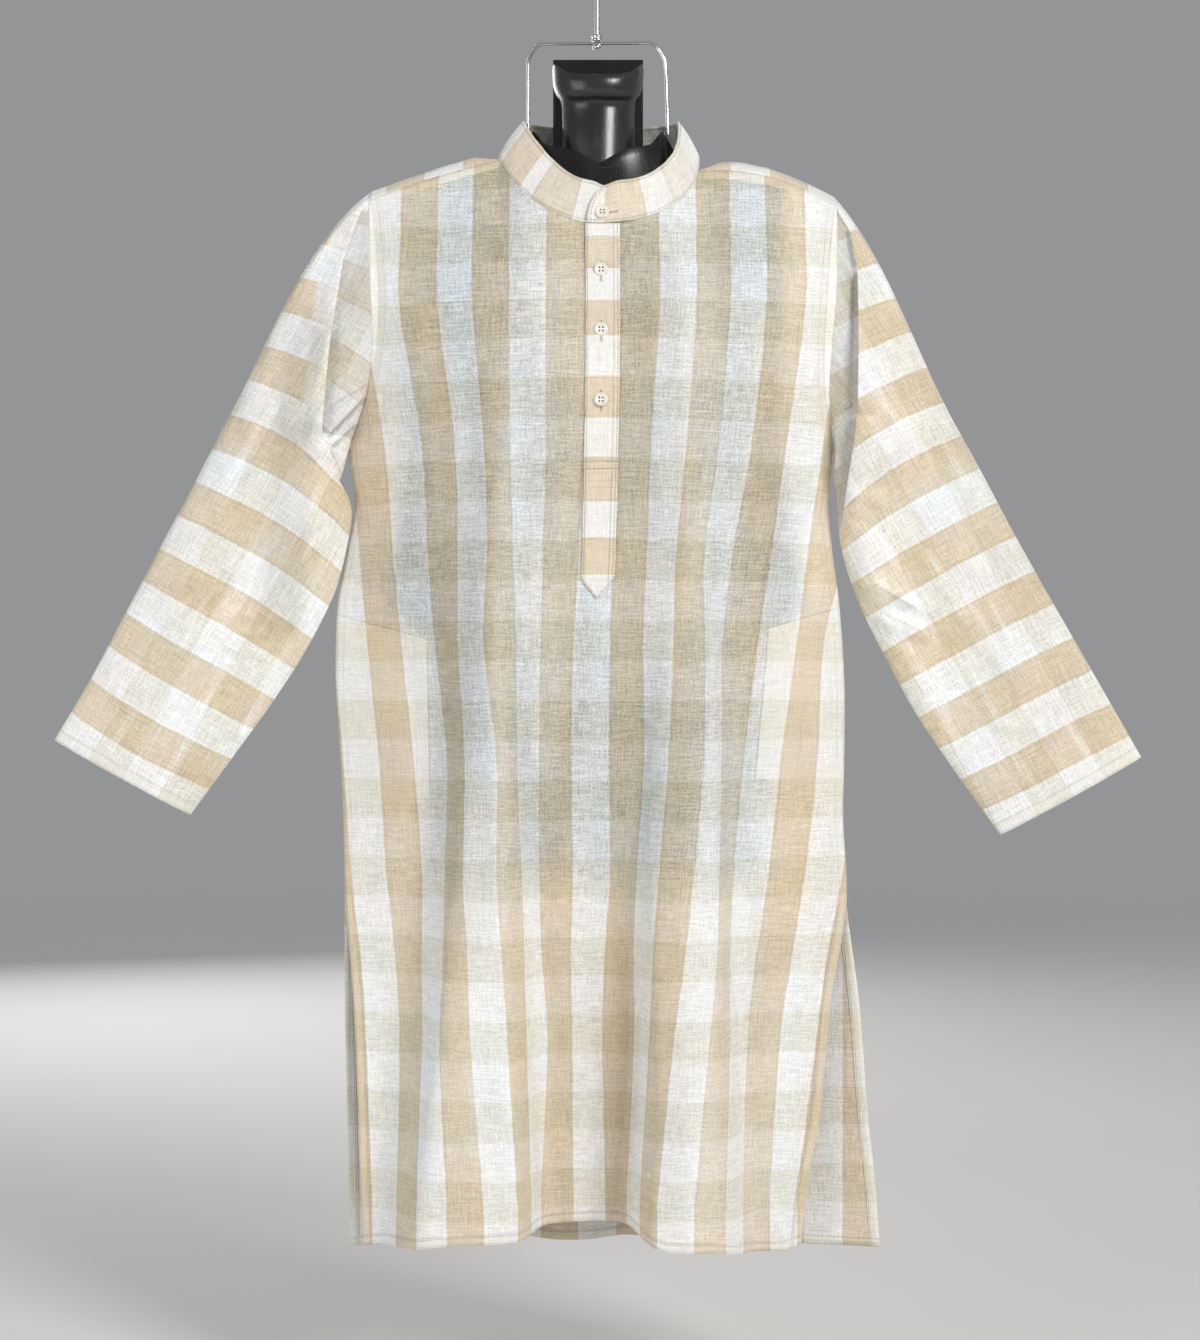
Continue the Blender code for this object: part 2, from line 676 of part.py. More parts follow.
def add_pockets(cloth, collection):
    """The two pocket bags, just inside the front."""
    columns, rows = 5, 8
    for name, (top_x, foot_x, side_top, inner_top, side_foot, inner_foot) in POCKETS.items():

        def point(column, row, rows_at=(top_x, foot_x, side_top, inner_top, side_foot, inner_foot)):
            inner_x_top, inner_x_foot, high_side, high_inner, low_side, low_inner = rows_at
            share = column / columns
            rise = row / rows
            height = ((low_side + (high_side - low_side) * rise) * (1 - share)
                      + (low_inner + (high_inner - low_inner) * rise) * share)
            inner = inner_x_foot + (inner_x_top - inner_x_foot) * rise
            edge_column = 1 if inner < 0 else 2
            edge = along(FRONT_SECTIONS, height, edge_column) + (POCKET_SEAM if inner < 0 else -POCKET_SEAM)
            x = edge + (inner - edge) * share
            skin = front_skin(x, height)
            return x, skin[1] + CLOTH * 1.5 + SEAM, height

        sheet(f"pocket_{name}", point, columns, rows, POCKET_CLOTH, cloth, collection, flip=name == "left")


def button(name, place, facing, finish, collection, cutters):
    """A round four-hole button lying on the cloth, its face turned to facing."""
    bm = bmesh.new()
    bmesh.ops.create_cone(bm, cap_ends=True, segments=20, radius1=BUTTON_R * MM, radius2=BUTTON_R * 0.94 * MM,
                          depth=BUTTON_THICK * MM)
    mesh = bpy.data.meshes.new(name)
    bm.to_mesh(mesh)
    bm.free()
    piece = add_object(name, mesh, finish, collection)
    turn = Vector(facing).to_track_quat("Z", "Y")
    piece.location = place
    piece.rotation_mode = "QUATERNION"
    piece.rotation_quaternion = turn
    bm = bmesh.new()
    for quarter in range(4):
        spot = radians(45 + 90 * quarter)
        made = bmesh.ops.create_cone(bm, cap_ends=True, segments=8, radius1=BUTTON_HOLE_R * MM,
                                     radius2=BUTTON_HOLE_R * MM, depth=BUTTON_THICK * 2 * MM)
        offset = Vector((cos(spot), sin(spot), 0)) * BUTTON_HOLE_RING * MM
        bmesh.ops.translate(bm, verts=made["verts"], vec=offset)
    hole_mesh = bpy.data.meshes.new(f"{name}_holes")
    bm.to_mesh(hole_mesh)
    bm.free()
    holes = bpy.data.objects.new(f"{name}_holes", hole_mesh)
    holes.location = place
    holes.rotation_mode = "QUATERNION"
    holes.rotation_quaternion = turn
    holes.hide_render = True
    holes.display_type = "WIRE"
    cutters.objects.link(holes)
    cut = piece.modifiers.new("thread_holes", "BOOLEAN")
    cut.operation = "DIFFERENCE"
    cut.object = holes


def add_buttons(finish, collection, cutters):
    """Three buttons down the placket and one on the collar."""
    stand = BUTTON_STAND + BUTTON_THICK / 2
    for number, height in enumerate(BUTTON_HEIGHTS, start=1):
        below = front_facet(BUTTON_X, height - 6)
        above = front_facet(BUTTON_X, height + 6)
        skin = front_facet(BUTTON_X, height)
        lean = (above[1] - below[1]) / 12
        facing = Vector((0, -1, lean)).normalized()
        out = SEAM + PLACKET_CLOTH + stand
        place = mm(BUTTON_X + facing.x * out, skin[1] + facing.y * out, height + facing.z * out)
        button(f"button_{number}", place, facing, finish, collection, cutters)
    rise = COLLAR_BUTTON_RISE
    turn = (360 + COLLAR_UNDER_END - COLLAR_BUTTON_ANGLE) / (COLLAR_UNDER_END - collar_finish(rise))
    middle = Vector(collar_point(turn, rise))
    up = Vector(collar_point(turn, rise + 0.15)) - middle
    side = Vector(collar_point(turn - 0.01, rise)) - middle
    facing = side.cross(up).normalized()
    if facing.y > 0:
        facing = -facing
    place = middle + facing * (stand - 0.3)
    button("button_collar", mm(*place), facing, finish, collection, cutters)


def form_point(place, rise):
    """A point of the form's outer face, from its foot to its shoulders or neck."""
    height = FORM_SECTIONS[0][0] + (FORM_TURN - FORM_SECTIONS[0][0]) * min(1.0, rise / FORM_TURN_RISE)
    half_width, front, back = (along(FORM_SECTIONS, height, column) for column in (1, 2, 3))
    angle = radians(90 * place)
    x = FORM_X + half_width * (1 if place > 0 else -1) * abs(sin(angle)) ** 0.9
    depth = back - (back - front) * cos(angle) ** 0.85
    if rise <= FORM_TURN_RISE:
        return x, depth, height
    part = (rise - FORM_TURN_RISE) / (1 - FORM_TURN_RISE)
    share = abs(place) / FORM_NECK_SHARE
    middle_x, neck_width, middle_y, neck_depth = FORM_NECK
    side = 1 if place > 0 else -1
    bearing = min(1.0, share) * 100
    edge = Vector((
        middle_x + side * neck_width * sin(radians(bearing)),
        middle_y - neck_depth * cos(radians(bearing)),
        along(FORM_NECK_EDGE, bearing, 1),
    ))
    if share > 1:
        out = (abs(place) - FORM_NECK_SHARE) / (1 - FORM_NECK_SHARE)
        tip_x, tip_y = FORM_X + side * FORM_TIP[0], FORM_TIP[1]
        level = along(FORM_SHOULDER, out, 1)
        edge = Vector((edge.x + (tip_x - edge.x) * out, edge.y + (tip_y - edge.y) * out, level))
    start = Vector((x, depth, height))
    lift = Vector((0, 3, 30))
    over = smooth((share - 1) / 0.45)
    arrive = Vector((0, -3, -30)).lerp(Vector((0, -20, -2)), over)
    a, b = 1 - part, part
    return tuple(start * a ** 3 + (start + lift) * (3 * b * a * a) + (edge + arrive) * (3 * b * b * a)
                 + edge * b ** 3)


def add_form(plastic, collection):
    """The moulded half torso, open at the back and the foot."""
    sheet("form_torso", lambda i, j: form_point(2 * i / FORM_COLUMNS - 1, j / FORM_ROWS), FORM_COLUMNS,
          FORM_ROWS, FORM_WALL, plastic, collection)


def add_neck_block(plastic, collection):
    """The form's flared neck block and the plate behind it."""
    low, high = NECK_BLOCK[0][0], NECK_BLOCK[-1][0]

    def point(column, row):
        bearing = radians(-90 + 180 * column / NECK_COLUMNS)
        height = low + (high - low) * row / NECK_ROWS
        half_width, front = along(NECK_BLOCK, height, 1), along(NECK_BLOCK, height, 2)
        horn = NECK_HORN_RISE * abs(sin(bearing)) ** 4 * smooth((row / NECK_ROWS - 0.6) / 0.4)
        return (NECK_BLOCK_X + half_width * sin(bearing),
                NECK_BLOCK_BACK - (NECK_BLOCK_BACK - front) * cos(bearing) ** 0.8, height + horn)

    sheet("form_neck", point, NECK_COLUMNS, NECK_ROWS, NECK_WALL, plastic, collection)
    half_width, foot, top, thick = PLATE
    bm = bmesh.new()
    made = bmesh.ops.create_cube(bm, size=1.0)
    bmesh.ops.scale(bm, verts=made["verts"], vec=Vector((2 * half_width, thick, top - foot)) * MM)
    centre = mm(NECK_BLOCK_X, NECK_BLOCK_BACK + 2 * SEAM + thick / 2, (foot + top) / 2)
    bmesh.ops.translate(bm, verts=bm.verts, vec=centre)
    mesh = bpy.data.meshes.new("form_plate")
    bm.to_mesh(mesh)
    bm.free()
    plate = add_object("form_plate", mesh, plastic, collection)
    corners = plate.modifiers.new("corners", "BEVEL")
    corners.width = 0.6 * MM
    corners.segments = 1


def rounded(points, radius, steps=5):
    """A path with its inner corners rounded off."""
    path = [Vector(points[0])]
    for before, corner, after in zip(points, points[1:], points[2:]):
        corner = Vector(corner)
        entry = corner + (Vector(before) - corner).normalized() * radius
        leave = corner + (Vector(after) - corner).normalized() * radius
        for i in range(steps + 1):
            t = i / steps
            path.append(entry * (1 - t) ** 2 + corner * (2 * t * (1 - t)) + leave * t * t)
    path.append(Vector(points[-1]))
    return path


def wire(name, path, radius, finish, collection):
    """A round wire through the points of a path."""
    curve = bpy.data.curves.new(name, "CURVE")
    curve.dimensions = "3D"
    curve.bevel_depth = radius * MM
    curve.bevel_resolution = 2
    curve.use_fill_caps = True
    spline = curve.splines.new("POLY")
    spline.points.add(len(path) - 1)
    for knot, spot in zip(spline.points, path):
        knot.co = (*mm(*spot), 1.0)
    return add_object(name, curve, finish, collection)


def disc(name, height, radius, thick, finish, collection):
    """A small round collar on the hook's axis."""
    bm = bmesh.new()
    bmesh.ops.create_cone(bm, cap_ends=True, segments=18, radius1=radius * MM, radius2=radius * MM,
                          depth=thick * MM)
    bmesh.ops.translate(bm, verts=bm.verts, vec=mm(0, 0, height))
    mesh = bpy.data.meshes.new(name)
    bm.to_mesh(mesh)
    bm.free()
    return add_object(name, mesh, finish, collection)


def add_hanger(chrome, steel, collection):
    """The wire bail, its swivel and the hook."""
    left_x, right_x = FORM_NECK[0] - BAIL_LEG, FORM_NECK[0] + BAIL_LEG
    bail = rounded((
        (left_x, 0, BAIL_FOOT), (left_x, 0, 1104), (left_x + 8, 0, BAR_HEIGHT),
        (right_x - 12, 0, BAR_HEIGHT + 1), (right_x - 2.5, 0, 1110), (right_x, 0, BAIL_FOOT),
    ), 6.0, 3)
    wire("bail", bail, WIRE_R, chrome, collection)
    swivel_foot = BAR_HEIGHT + WIRE_R + SWIVEL_STAND
    disc("swivel", swivel_foot + SWIVEL_THICK / 2, SWIVEL_R, SWIVEL_THICK, chrome, collection)
    disc("swivel_nut", BAR_HEIGHT - WIRE_R - NUT_THICK / 2, SWIVEL_R * 0.8, NUT_THICK, chrome, collection)
    shank_foot = swivel_foot + SWIVEL_THICK + SEAM
    bend = []
    for i in range(HOOK_STEPS + 1):
        angle = radians(HOOK_START + (HOOK_FINISH - HOOK_START) * i / HOOK_STEPS)
        bend.append(Vector((HOOK_BEND * cos(angle), 0, BEND_CENTRE + HOOK_BEND * sin(angle))))
    knee = Vector((0, 0, BEND_CENTRE - HOOK_BEND - 12))
    wire("hook", [Vector((0, 0, shank_foot)), knee, Vector((3, 0, knee.z + 5))] + bend, HOOK_R, steel,
         collection)


def build():
    """The whole part."""
    for leftover in list(bpy.data.objects):
        bpy.data.objects.remove(leftover, do_unlink=True)
    parts = bpy.data.collections.new("kurta_tunic")
    cutters = bpy.data.collections.new("cutters")
    bpy.context.scene.collection.children.link(parts)
    bpy.context.scene.collection.children.link(cutters)
    cloth = material("check_cloth", (0.66, 0.58, 0.44), 0.9)
    shell = material("button_shell", (0.80, 0.76, 0.68), 0.35)
    plastic = material("black_plastic", (0.012, 0.012, 0.013), 0.22)
    chrome = material("bail_wire", (0.70, 0.70, 0.70), 0.2, 1.0)
    steel = material("hook_rod", (0.62, 0.61, 0.58), 0.35, 1.0)
    add_body(cloth, parts)
    add_sleeves(cloth, parts)
    add_collar(cloth, parts)
    add_placket(cloth, parts)
    add_pockets(cloth, parts)
    add_buttons(shell, parts, cutters)
    add_form(plastic, parts)
    add_neck_block(plastic, parts)
    add_hanger(chrome, steel, parts)


build()
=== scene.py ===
"""The looks of a long-sleeved kurta tunic and of the hanging form that it is shown on.

The file follows the garment as it is put together: front, back, sleeves, collar, placket,
pocket bags and buttons, then the form, its bail and hook, and last the studio.  The cloth is
slub cotton, woven in broad cream and tan stripes that a weak second stripe crosses.  Tables
are in millimetres, x to the wearer's left, and heights are above the lowest point of the back hem.
"""

from bisect import bisect_right
from math import cos, exp, pi, radians, sin, sqrt, tanh

import bmesh
import bpy
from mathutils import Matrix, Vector, noise


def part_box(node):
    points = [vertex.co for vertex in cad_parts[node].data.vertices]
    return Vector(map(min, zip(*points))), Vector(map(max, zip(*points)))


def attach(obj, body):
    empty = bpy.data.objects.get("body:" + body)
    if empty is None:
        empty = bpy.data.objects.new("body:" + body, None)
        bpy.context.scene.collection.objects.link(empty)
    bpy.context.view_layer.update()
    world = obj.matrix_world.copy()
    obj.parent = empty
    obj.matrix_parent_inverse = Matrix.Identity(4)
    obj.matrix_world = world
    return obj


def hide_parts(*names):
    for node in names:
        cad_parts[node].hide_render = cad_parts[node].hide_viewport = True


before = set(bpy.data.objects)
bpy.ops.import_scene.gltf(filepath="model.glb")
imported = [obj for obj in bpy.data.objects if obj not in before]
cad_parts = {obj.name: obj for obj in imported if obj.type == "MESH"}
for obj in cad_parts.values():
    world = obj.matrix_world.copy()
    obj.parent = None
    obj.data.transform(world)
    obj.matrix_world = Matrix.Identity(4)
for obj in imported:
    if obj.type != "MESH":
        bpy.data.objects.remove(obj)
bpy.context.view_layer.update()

# ----------------------------------------
# FRONT.  One panel of the check cloth, cut 17 stripes wide, narrow at the chest and flared
# to the hem.  It hangs from the shoulders in four long folds; its hem and the edges of its
# two side slits are turned under and stitched, and the side seams show through as pale strips.

MM = 0.001
RAIL_HEIGHT = 1213.8         # the hook bears on its rail this far above the hem
CLOTH = 0.9                  # the cloth's wall

# The front's two edges and its depth.  From the underarm up, the edges are the armholes.
# height, left x, right x, left depth, right depth, centre depth
FRONT_SECTIONS = (
    (0, -217, 188, -12, -22, -20),
    (64, -220, 195, -11, -20, -24),
    (120, -222, 206, -10, -17, -28),
    (232, -227, 218, -7, -11, -38),
    (325, -235, 233, -3, -2, -48),
    (400, -237, 230, 0, 0, -58),
    (460, -240, 231, 0, 0, -66),
    (530, -244, 231, 0, 0, -77),
    (605, -242, 226, 0, 0, -87),
    (650, -234, 220, 0, 0, -94),
    (700, -226, 217, 0, 0, -100),
    (748, -232, 220, -2, -2, -104),
    (770, -224, 217, -14, -14, -105),
    (800, -213, 212, -27, -27, -105),
    (840, -204, 211, -38, -38, -102),
    (880, -202, 213, -44, -44, -94),
    (920, -204, 216, -42, -42, -82),
    (948, -207, 219, -36, -36, -74),
    (975, -211, 222, -27, -27, -72),
)
# For each fold, rows of height, x of its flank, half-width, step in depth from left to right
FRONT_FOLDS = {
    "left outer": (
        (720, -120, 26, 0), (568, -126, 20, -30), (456, -131, 11, -33), (344, -139, 10, -42),
        (200, -155, 10, -58), (0, -186, 16, -66),
    ),
    "left inner": (
        (760, -80, 20, 0), (568, -65, 12, 26), (456, -68, 11, 36), (344, -70, 9, 46),
        (200, -62, 8.5, 66), (0, -60, 8, 76),
    ),
    "right inner": (
        (700, 70, 20, 0), (568, 56, 16, -20), (456, 51, 11, -28), (344, 40, 11, -42),
        (200, 45, 9, -60), (0, 36, 10, -82),
    ),
    "right outer": (
        (700, 100, 20, 0), (568, 107, 10, 26), (456, 115, 10, 40), (344, 118, 8.5, 48),
        (200, 121, 9, 52), (0, 134, 12, 62),
    ),
}
# x, height of the front hem
FRONT_HEM = (
    (-217, 6), (-184, 10), (-147, 17), (-100, 20), (-58, 23), (-10, 27), (30, 25), (62, 14), (110, 12),
    (140, 4), (172, 2), (188, 8),
)
PROFILE_POWER = 2.1          # how square the front and back are across
SHOULDER_ROUND = 150.0       # how far down the front the shoulder rounds off
SHOULDER_POWER = 2.2         # and how tightly
EASE_FROM = 0.72             # the share of the front's rise where its columns close in on the neck

# x of the middle, half-width, y of the middle, half-depth, height at the side
NECK_RING = (2.0, 93.0, -12.0, 60.0, 1018.0)
NECK_DROP = 72.0             # how much lower the neck seam is at the front
BACK_RISE = 4.0
LEFT_DIP = 1.5               # how late the drop comes, left and right of the middle
RIGHT_DIP = 0.88
SEAM_ANGLE = 80.0            # where the shoulder seam meets the neck, from the front
NECK_SHARE = 0.43            # the neckline's share of the front's half-width
SHOULDER_TIPS = ((-211.0, -27.0, 975.0), (222.0, -27.0, 969.0))
SHOULDER_ARCH = (2.0, 11.0)  # how far each shoulder seam bows up

FRONT_COLUMNS = 150
FRONT_ROWS = 256

# Where each woven stripe's edge runs: height, then x of the 18 edges of the 17 stripes.
STRIPE_EDGES = (
    (940, -282, -248, -215, -181, -146, -114, -80, -46, -11, 21, 57, 91, 122, 155, 192, 226, 260, 293),
    (874, -281, -248, -215, -181, -145, -113, -79, -46, -11, 21, 57, 90, 121, 154, 191, 226, 259, 292),
    (747, -266, -232, -196, -160, -129, -102, -78, -46, -12, 18, 49, 81, 111, 141, 174, 210, 244, 278),
    (639, -255, -220, -187, -154, -126, -99, -75, -49, -16, 14, 45, 71, 97, 122, 159, 194, 229, 262),
    (567, -248, -213, -180, -148, -126, -102, -72, -51, -21, 12, 42, 69, 98, 114, 148, 185, 211, 246),
    (459, -237, -202, -169, -137, -120, -90, -72, -53, -23, 11, 43, 64, 97, 113, 135, 170, 205, 240),
    (349, -229, -195, -161, -139, -121, -90, -68, -53, -22, 12, 36, 55, 87, 111, 125, 158, 193, 229),
    (276, -220, -187, -162, -140, -117, -85, -66, -51, -24, 7, 34, 50, 79, 109, 122, 147, 181, 214),
    (202, -215, -183, -161, -143, -114, -80, -64, -46, -23, 5, 35, 47, 69, 102, 122, 139, 170, 204),
    (54, -209, -185, -164, -136, -102, -71, -60, -52, -22, 8, 28, 39, 54, 88, 117, 134, 160, 185),
)
STRIPE = 35.5                # a stripe's width in the cloth
HALF_COUNT = 8.5             # stripes from the middle of the front to each edge of the table
BAND = 36.25                 # the weak cross stripe's width
BAND_EDGE = 838.0            # a height where a light cross stripe ends, at its top


def mm(x, y, height):
    """A point in metres from millimetres, with the height counted from the hem."""
    return Vector((x * MM, y * MM, (height - RAIL_HEIGHT) * MM))


def smooth(value):
    """An even step from 0 to 1."""
    value = min(1.0, max(0.0, value))
    return value * value * (3 - 2 * value)


class Course:
    """One column of a table, as a smooth line that is read at any key."""

    def __init__(self, rows, column):
        rows = sorted(rows)
        self.keys = [row[0] for row in rows]
        self.values = [row[column] for row in rows]

    def __call__(self, key):
        keys, values = self.keys, self.values
        if key <= keys[0]:
            return values[0]
        if key >= keys[-1]:
            return values[-1]
        spot = bisect_right(keys, key) - 1
        low, high = values[spot], values[spot + 1]
        span = keys[spot + 1] - keys[spot]
        part = (key - keys[spot]) / span
        before, after = max(0, spot - 1), min(len(keys) - 1, spot + 2)
        start = (high - values[before]) / (keys[spot + 1] - keys[before]) * span
        finish = (values[after] - low) / (keys[after] - keys[spot]) * span
        return (
            low * (1 + 2 * part) * (1 - part) ** 2
            + start * part * (1 - part) ** 2
            + high * part * part * (3 - 2 * part)
            - finish * part * part * (1 - part)
        )


def courses(rows):
    """The courses of a table's columns after its key."""
    return [Course(rows, column) for column in range(1, len(rows[0]))]


front_courses = courses(FRONT_SECTIONS)
front_folds = [courses(rows) for rows in FRONT_FOLDS.values()]
hem_height = Course(FRONT_HEM, 1)
stripe_courses = courses(STRIPE_EDGES)


def across(section, x, height):
    """Where x lies between a section's two edges, from -1 to 1."""
    left, right = section[0](height), section[1](height)
    return min(1.0, max(-1.0, (2 * x - left - right) / (right - left)))


def between(left, right, place):
    """What lies at a place from -1, at left, to 1, at right."""
    return left * (1 - place) / 2 + right * (1 + place) / 2


def section_depth(section, x, height):
    """The plain rounded depth of the front or back, without its folds."""
    place = across(section, x, height)
    edge = between(section[2](height), section[3](height), place)
    return edge + (section[4](height) - edge) * (1 - abs(place) ** PROFILE_POWER)


def front_depth(x, height):
    """The front's depth with its folds, which cancel out at both edges."""
    shift, total = 0.0, 0.0
    for flank, width, rise in front_folds:
        step = rise(height)
        if step:
            shift += step * (1 + tanh((x - flank(height)) / width(height))) / 2
            total += step
    place = across(front_courses, x, height)
    fade = 1 - abs(place) ** 8
    return section_depth(front_courses, x, height) + (shift - total * (1 + place) / 2) * fade


def ring_point(ring, drop, angle):
    """A point of the neck seam or the collar's top, at an angle from the middle front."""
    middle_x, half_width, middle_y, half_depth, side_height = ring
    turn = radians(angle)
    forward = cos(turn)
    dip = LEFT_DIP if sin(turn) < 0 else RIGHT_DIP
    height = side_height + BACK_RISE * max(0.0, -forward) - drop * max(0.0, forward) ** dip
    return middle_x + half_width * sin(turn), middle_y - half_depth * forward, height


def shoulder_seam(side, part):
    """A point of the forward shoulder seam, from the neck (0) to the armhole (1)."""
    start = ring_point(NECK_RING, NECK_DROP, side * SEAM_ANGLE)
    number = 0 if side < 0 else 1
    x, y, height = (a + (b - a) * part for a, b in zip(start, SHOULDER_TIPS[number]))
    return x, y, height + SHOULDER_ARCH[number] * sin(pi * part)


def top_edge(place, back):
    """The upper edge of the front or back at a column's place, from -1 to 1."""
    side = -1 if place < 0 else 1
    share = abs(place) / NECK_SHARE
    if share <= 1:
        if back:
            return ring_point(NECK_RING, NECK_DROP, side * (180 - (180 - SEAM_ANGLE) * share))
        return ring_point(NECK_RING, NECK_DROP, side * SEAM_ANGLE * share)
    return shoulder_seam(side, (abs(place) - NECK_SHARE) / (1 - NECK_SHARE))


def front_point(place, rise):
    """A point of the front's outer face: place from -1 to 1 across, rise from hem to top."""
    top_x, top_y, top_height = top_edge(place, False)
    foot = hem_height(between(front_courses[0](0), front_courses[1](0), place))
    height = foot + (top_height - foot) * rise
    x = between(front_courses[0](height), front_courses[1](height), place)
    x += (top_x - x) * smooth((rise - EASE_FROM) / (1 - EASE_FROM))
    near_top = min(1.0, (top_height - height) / SHOULDER_ROUND)
    depth = top_y + (front_depth(x, height) - top_y) * (1 - (1 - near_top) ** SHOULDER_POWER)
    return x, depth, height


def rumple(x, y, height, size, amount, seed):
    """A small unevenness, always the same at the same spot."""
    return amount * noise.noise(Vector((x / size, y / size + seed, height / size)))


# Creases that handling left in the front: x and height of each end, width, depth
FRONT_CREASES = (
    (-190, 622, -128, 574, 3.0, 0.9),
    (-180, 636, -146, 582, 3.0, -0.7),
    (-146, 582, -122, 570, 2.6, 0.7),
    (-152, 418, -52, 396, 2.8, 0.9),
    (-90, 380, -38, 338, 3.2, 0.9),
    (-128, 412, -60, 402, 2.6, -0.5),
    (-214, 402, -160, 416, 2.8, -0.6),
    (84, 615, 96, 600, 2.6, 0.8),
    (120, 452, 128, 430, 3.0, 0.6),
    (-60, 520, -24, 512, 4.0, 0.5),
    (20, 286, 66, 262, 5.0, 0.6),
    (-90, 180, -66, 140, 5.0, 0.7),
)
CREASE_REACH = 12            # how far off a crease its effect is still worked out


def off_line(x, up, x0, up0, x1, up1):
    """The nearest place along a line, from 0 to 1, and how far off it a spot lies."""
    run, climb = x1 - x0, up1 - up0
    part = min(1.0, max(0.0, ((x - x0) * run + (up - up0) * climb) / (run ** 2 + climb ** 2)))
    return part, sqrt((x - x0 - part * run) ** 2 + (up - up0 - part * climb) ** 2)


def crease_depth(x, height):
    """What the front's creases add to its depth."""
    total = 0.0
    for x0, h0, x1, h1, width, depth in FRONT_CREASES:
        close = min(x0, x1) - CREASE_REACH < x < max(x0, x1) + CREASE_REACH
        if close and min(h0, h1) - CREASE_REACH < height < max(h0, h1) + CREASE_REACH:
            part, far = off_line(x, height, x0, h0, x1, h1)
            total += depth * exp(-((far / width) ** 2)) * (1 - (2 * part - 1) ** 4)
    return total


PLAIN_EDGE = 0.06            # the share of a half along each edge where the rumples die away


def front_skin(place, rise):
    """The front as it hangs, with its fine unevenness and the puckers along its seams."""
    x, depth, height = front_point(place, rise)
    far = min(1.0, (1 - abs(place)) / PLAIN_EDGE)
    low = smooth((620 - height) / 300)
    depth += rumple(x, 0, height * 0.35, 24.0, 0.9 + 0.9 * low, 3.0) * far
    depth += rumple(x, 0, height * 0.8, 11.0, 0.35 + 0.25 * low, 9.0) * far
    depth -= crease_depth(x, height)
    pucker = exp(-(((1 - abs(place)) / 0.05) ** 2)) * smooth((height - 40) / 60)
    depth -= pucker * (0.5 * sin(height / 6.5) + rumple(x, 0, height, 9.0, 0.8, 21.0)) * far
    return x, depth, height


stripe_lines = {}


def stripe_at(x, height):
    """How many stripes a spot of the front lies from the middle of the middle stripe."""
    key = round(height)
    if key not in stripe_lines:
        stripe_lines[key] = [course(key) for course in stripe_courses]
    edges = stripe_lines[key]
    spot = min(len(edges) - 2, max(0, bisect_right(edges, x) - 1))
    part = (x - edges[spot]) / (edges[spot + 1] - edges[spot])
    if part < 0 or part > 1:
        end = edges[0] if part < 0 else edges[-1]
        return (x - end) / STRIPE + (-HALF_COUNT if part < 0 else HALF_COUNT)
    return spot - HALF_COUNT + part


class Reading:
    """What a node gives at each spot of a surface, with Python's own arithmetic."""

    def __init__(self, finish, socket):
        self.finish, self.socket = finish, socket

    def worked(self, operation, *items):
        return self.finish.node("ShaderNodeMath", {"operation": operation}, *items)

    def __abs__(self):
        return self.worked("ABSOLUTE", self)

    def most(self, other):
        return self.worked("MAXIMUM", self, other)

    def step(self, low, high):
        """0 below low, 1 above high, smooth between; with low above high, the other way."""
        return self.finish.node(
            "ShaderNodeMapRange", {"interpolation_type": "SMOOTHSTEP"}, self, low, high, 0.0, 1.0
        )

    def within(self, edge, soft):
        """1 below an edge, fading over soft to both sides of it."""
        return self.step(edge + soft, edge - soft)

    def near(self, middle, half, soft):
        """1 within half of the middle, fading over soft."""
        return abs(self - middle).step(half + soft, half)

    def dashes(self, rate, stitch=0.36):
        """A row of stitches, so many to a unit."""
        return abs(self * rate % 1.0 - 0.5).step(stitch, 0.3)


for sign, operation in (
    ("add", "ADD"), ("sub", "SUBTRACT"), ("mul", "MULTIPLY"), ("truediv", "DIVIDE"), ("pow", "POWER"),
    ("mod", "FLOORED_MODULO"),
):
    setattr(Reading, f"__{sign}__", lambda a, b, kind=operation: a.worked(kind, a, b))
    setattr(Reading, f"__r{sign}__", lambda a, b, kind=operation: a.worked(kind, b, a))


def most_of(readings):
    """At each spot, the highest of several readings."""
    highest, *others = readings
    for other in others:
        highest = highest.most(other)
    return highest


def beside(x, up, x0, up0, x1, up1):
    """How far along a straight line a spot lies, from 0 to 1, and how far to its left."""
    run, climb = x1 - x0, up1 - up0
    long = sqrt(run * run + climb * climb)
    part = (x - x0) * (run / long ** 2) + (up - up0) * (climb / long ** 2)
    return part, (up - up0) * (run / long) - (x - x0) * (climb / long)


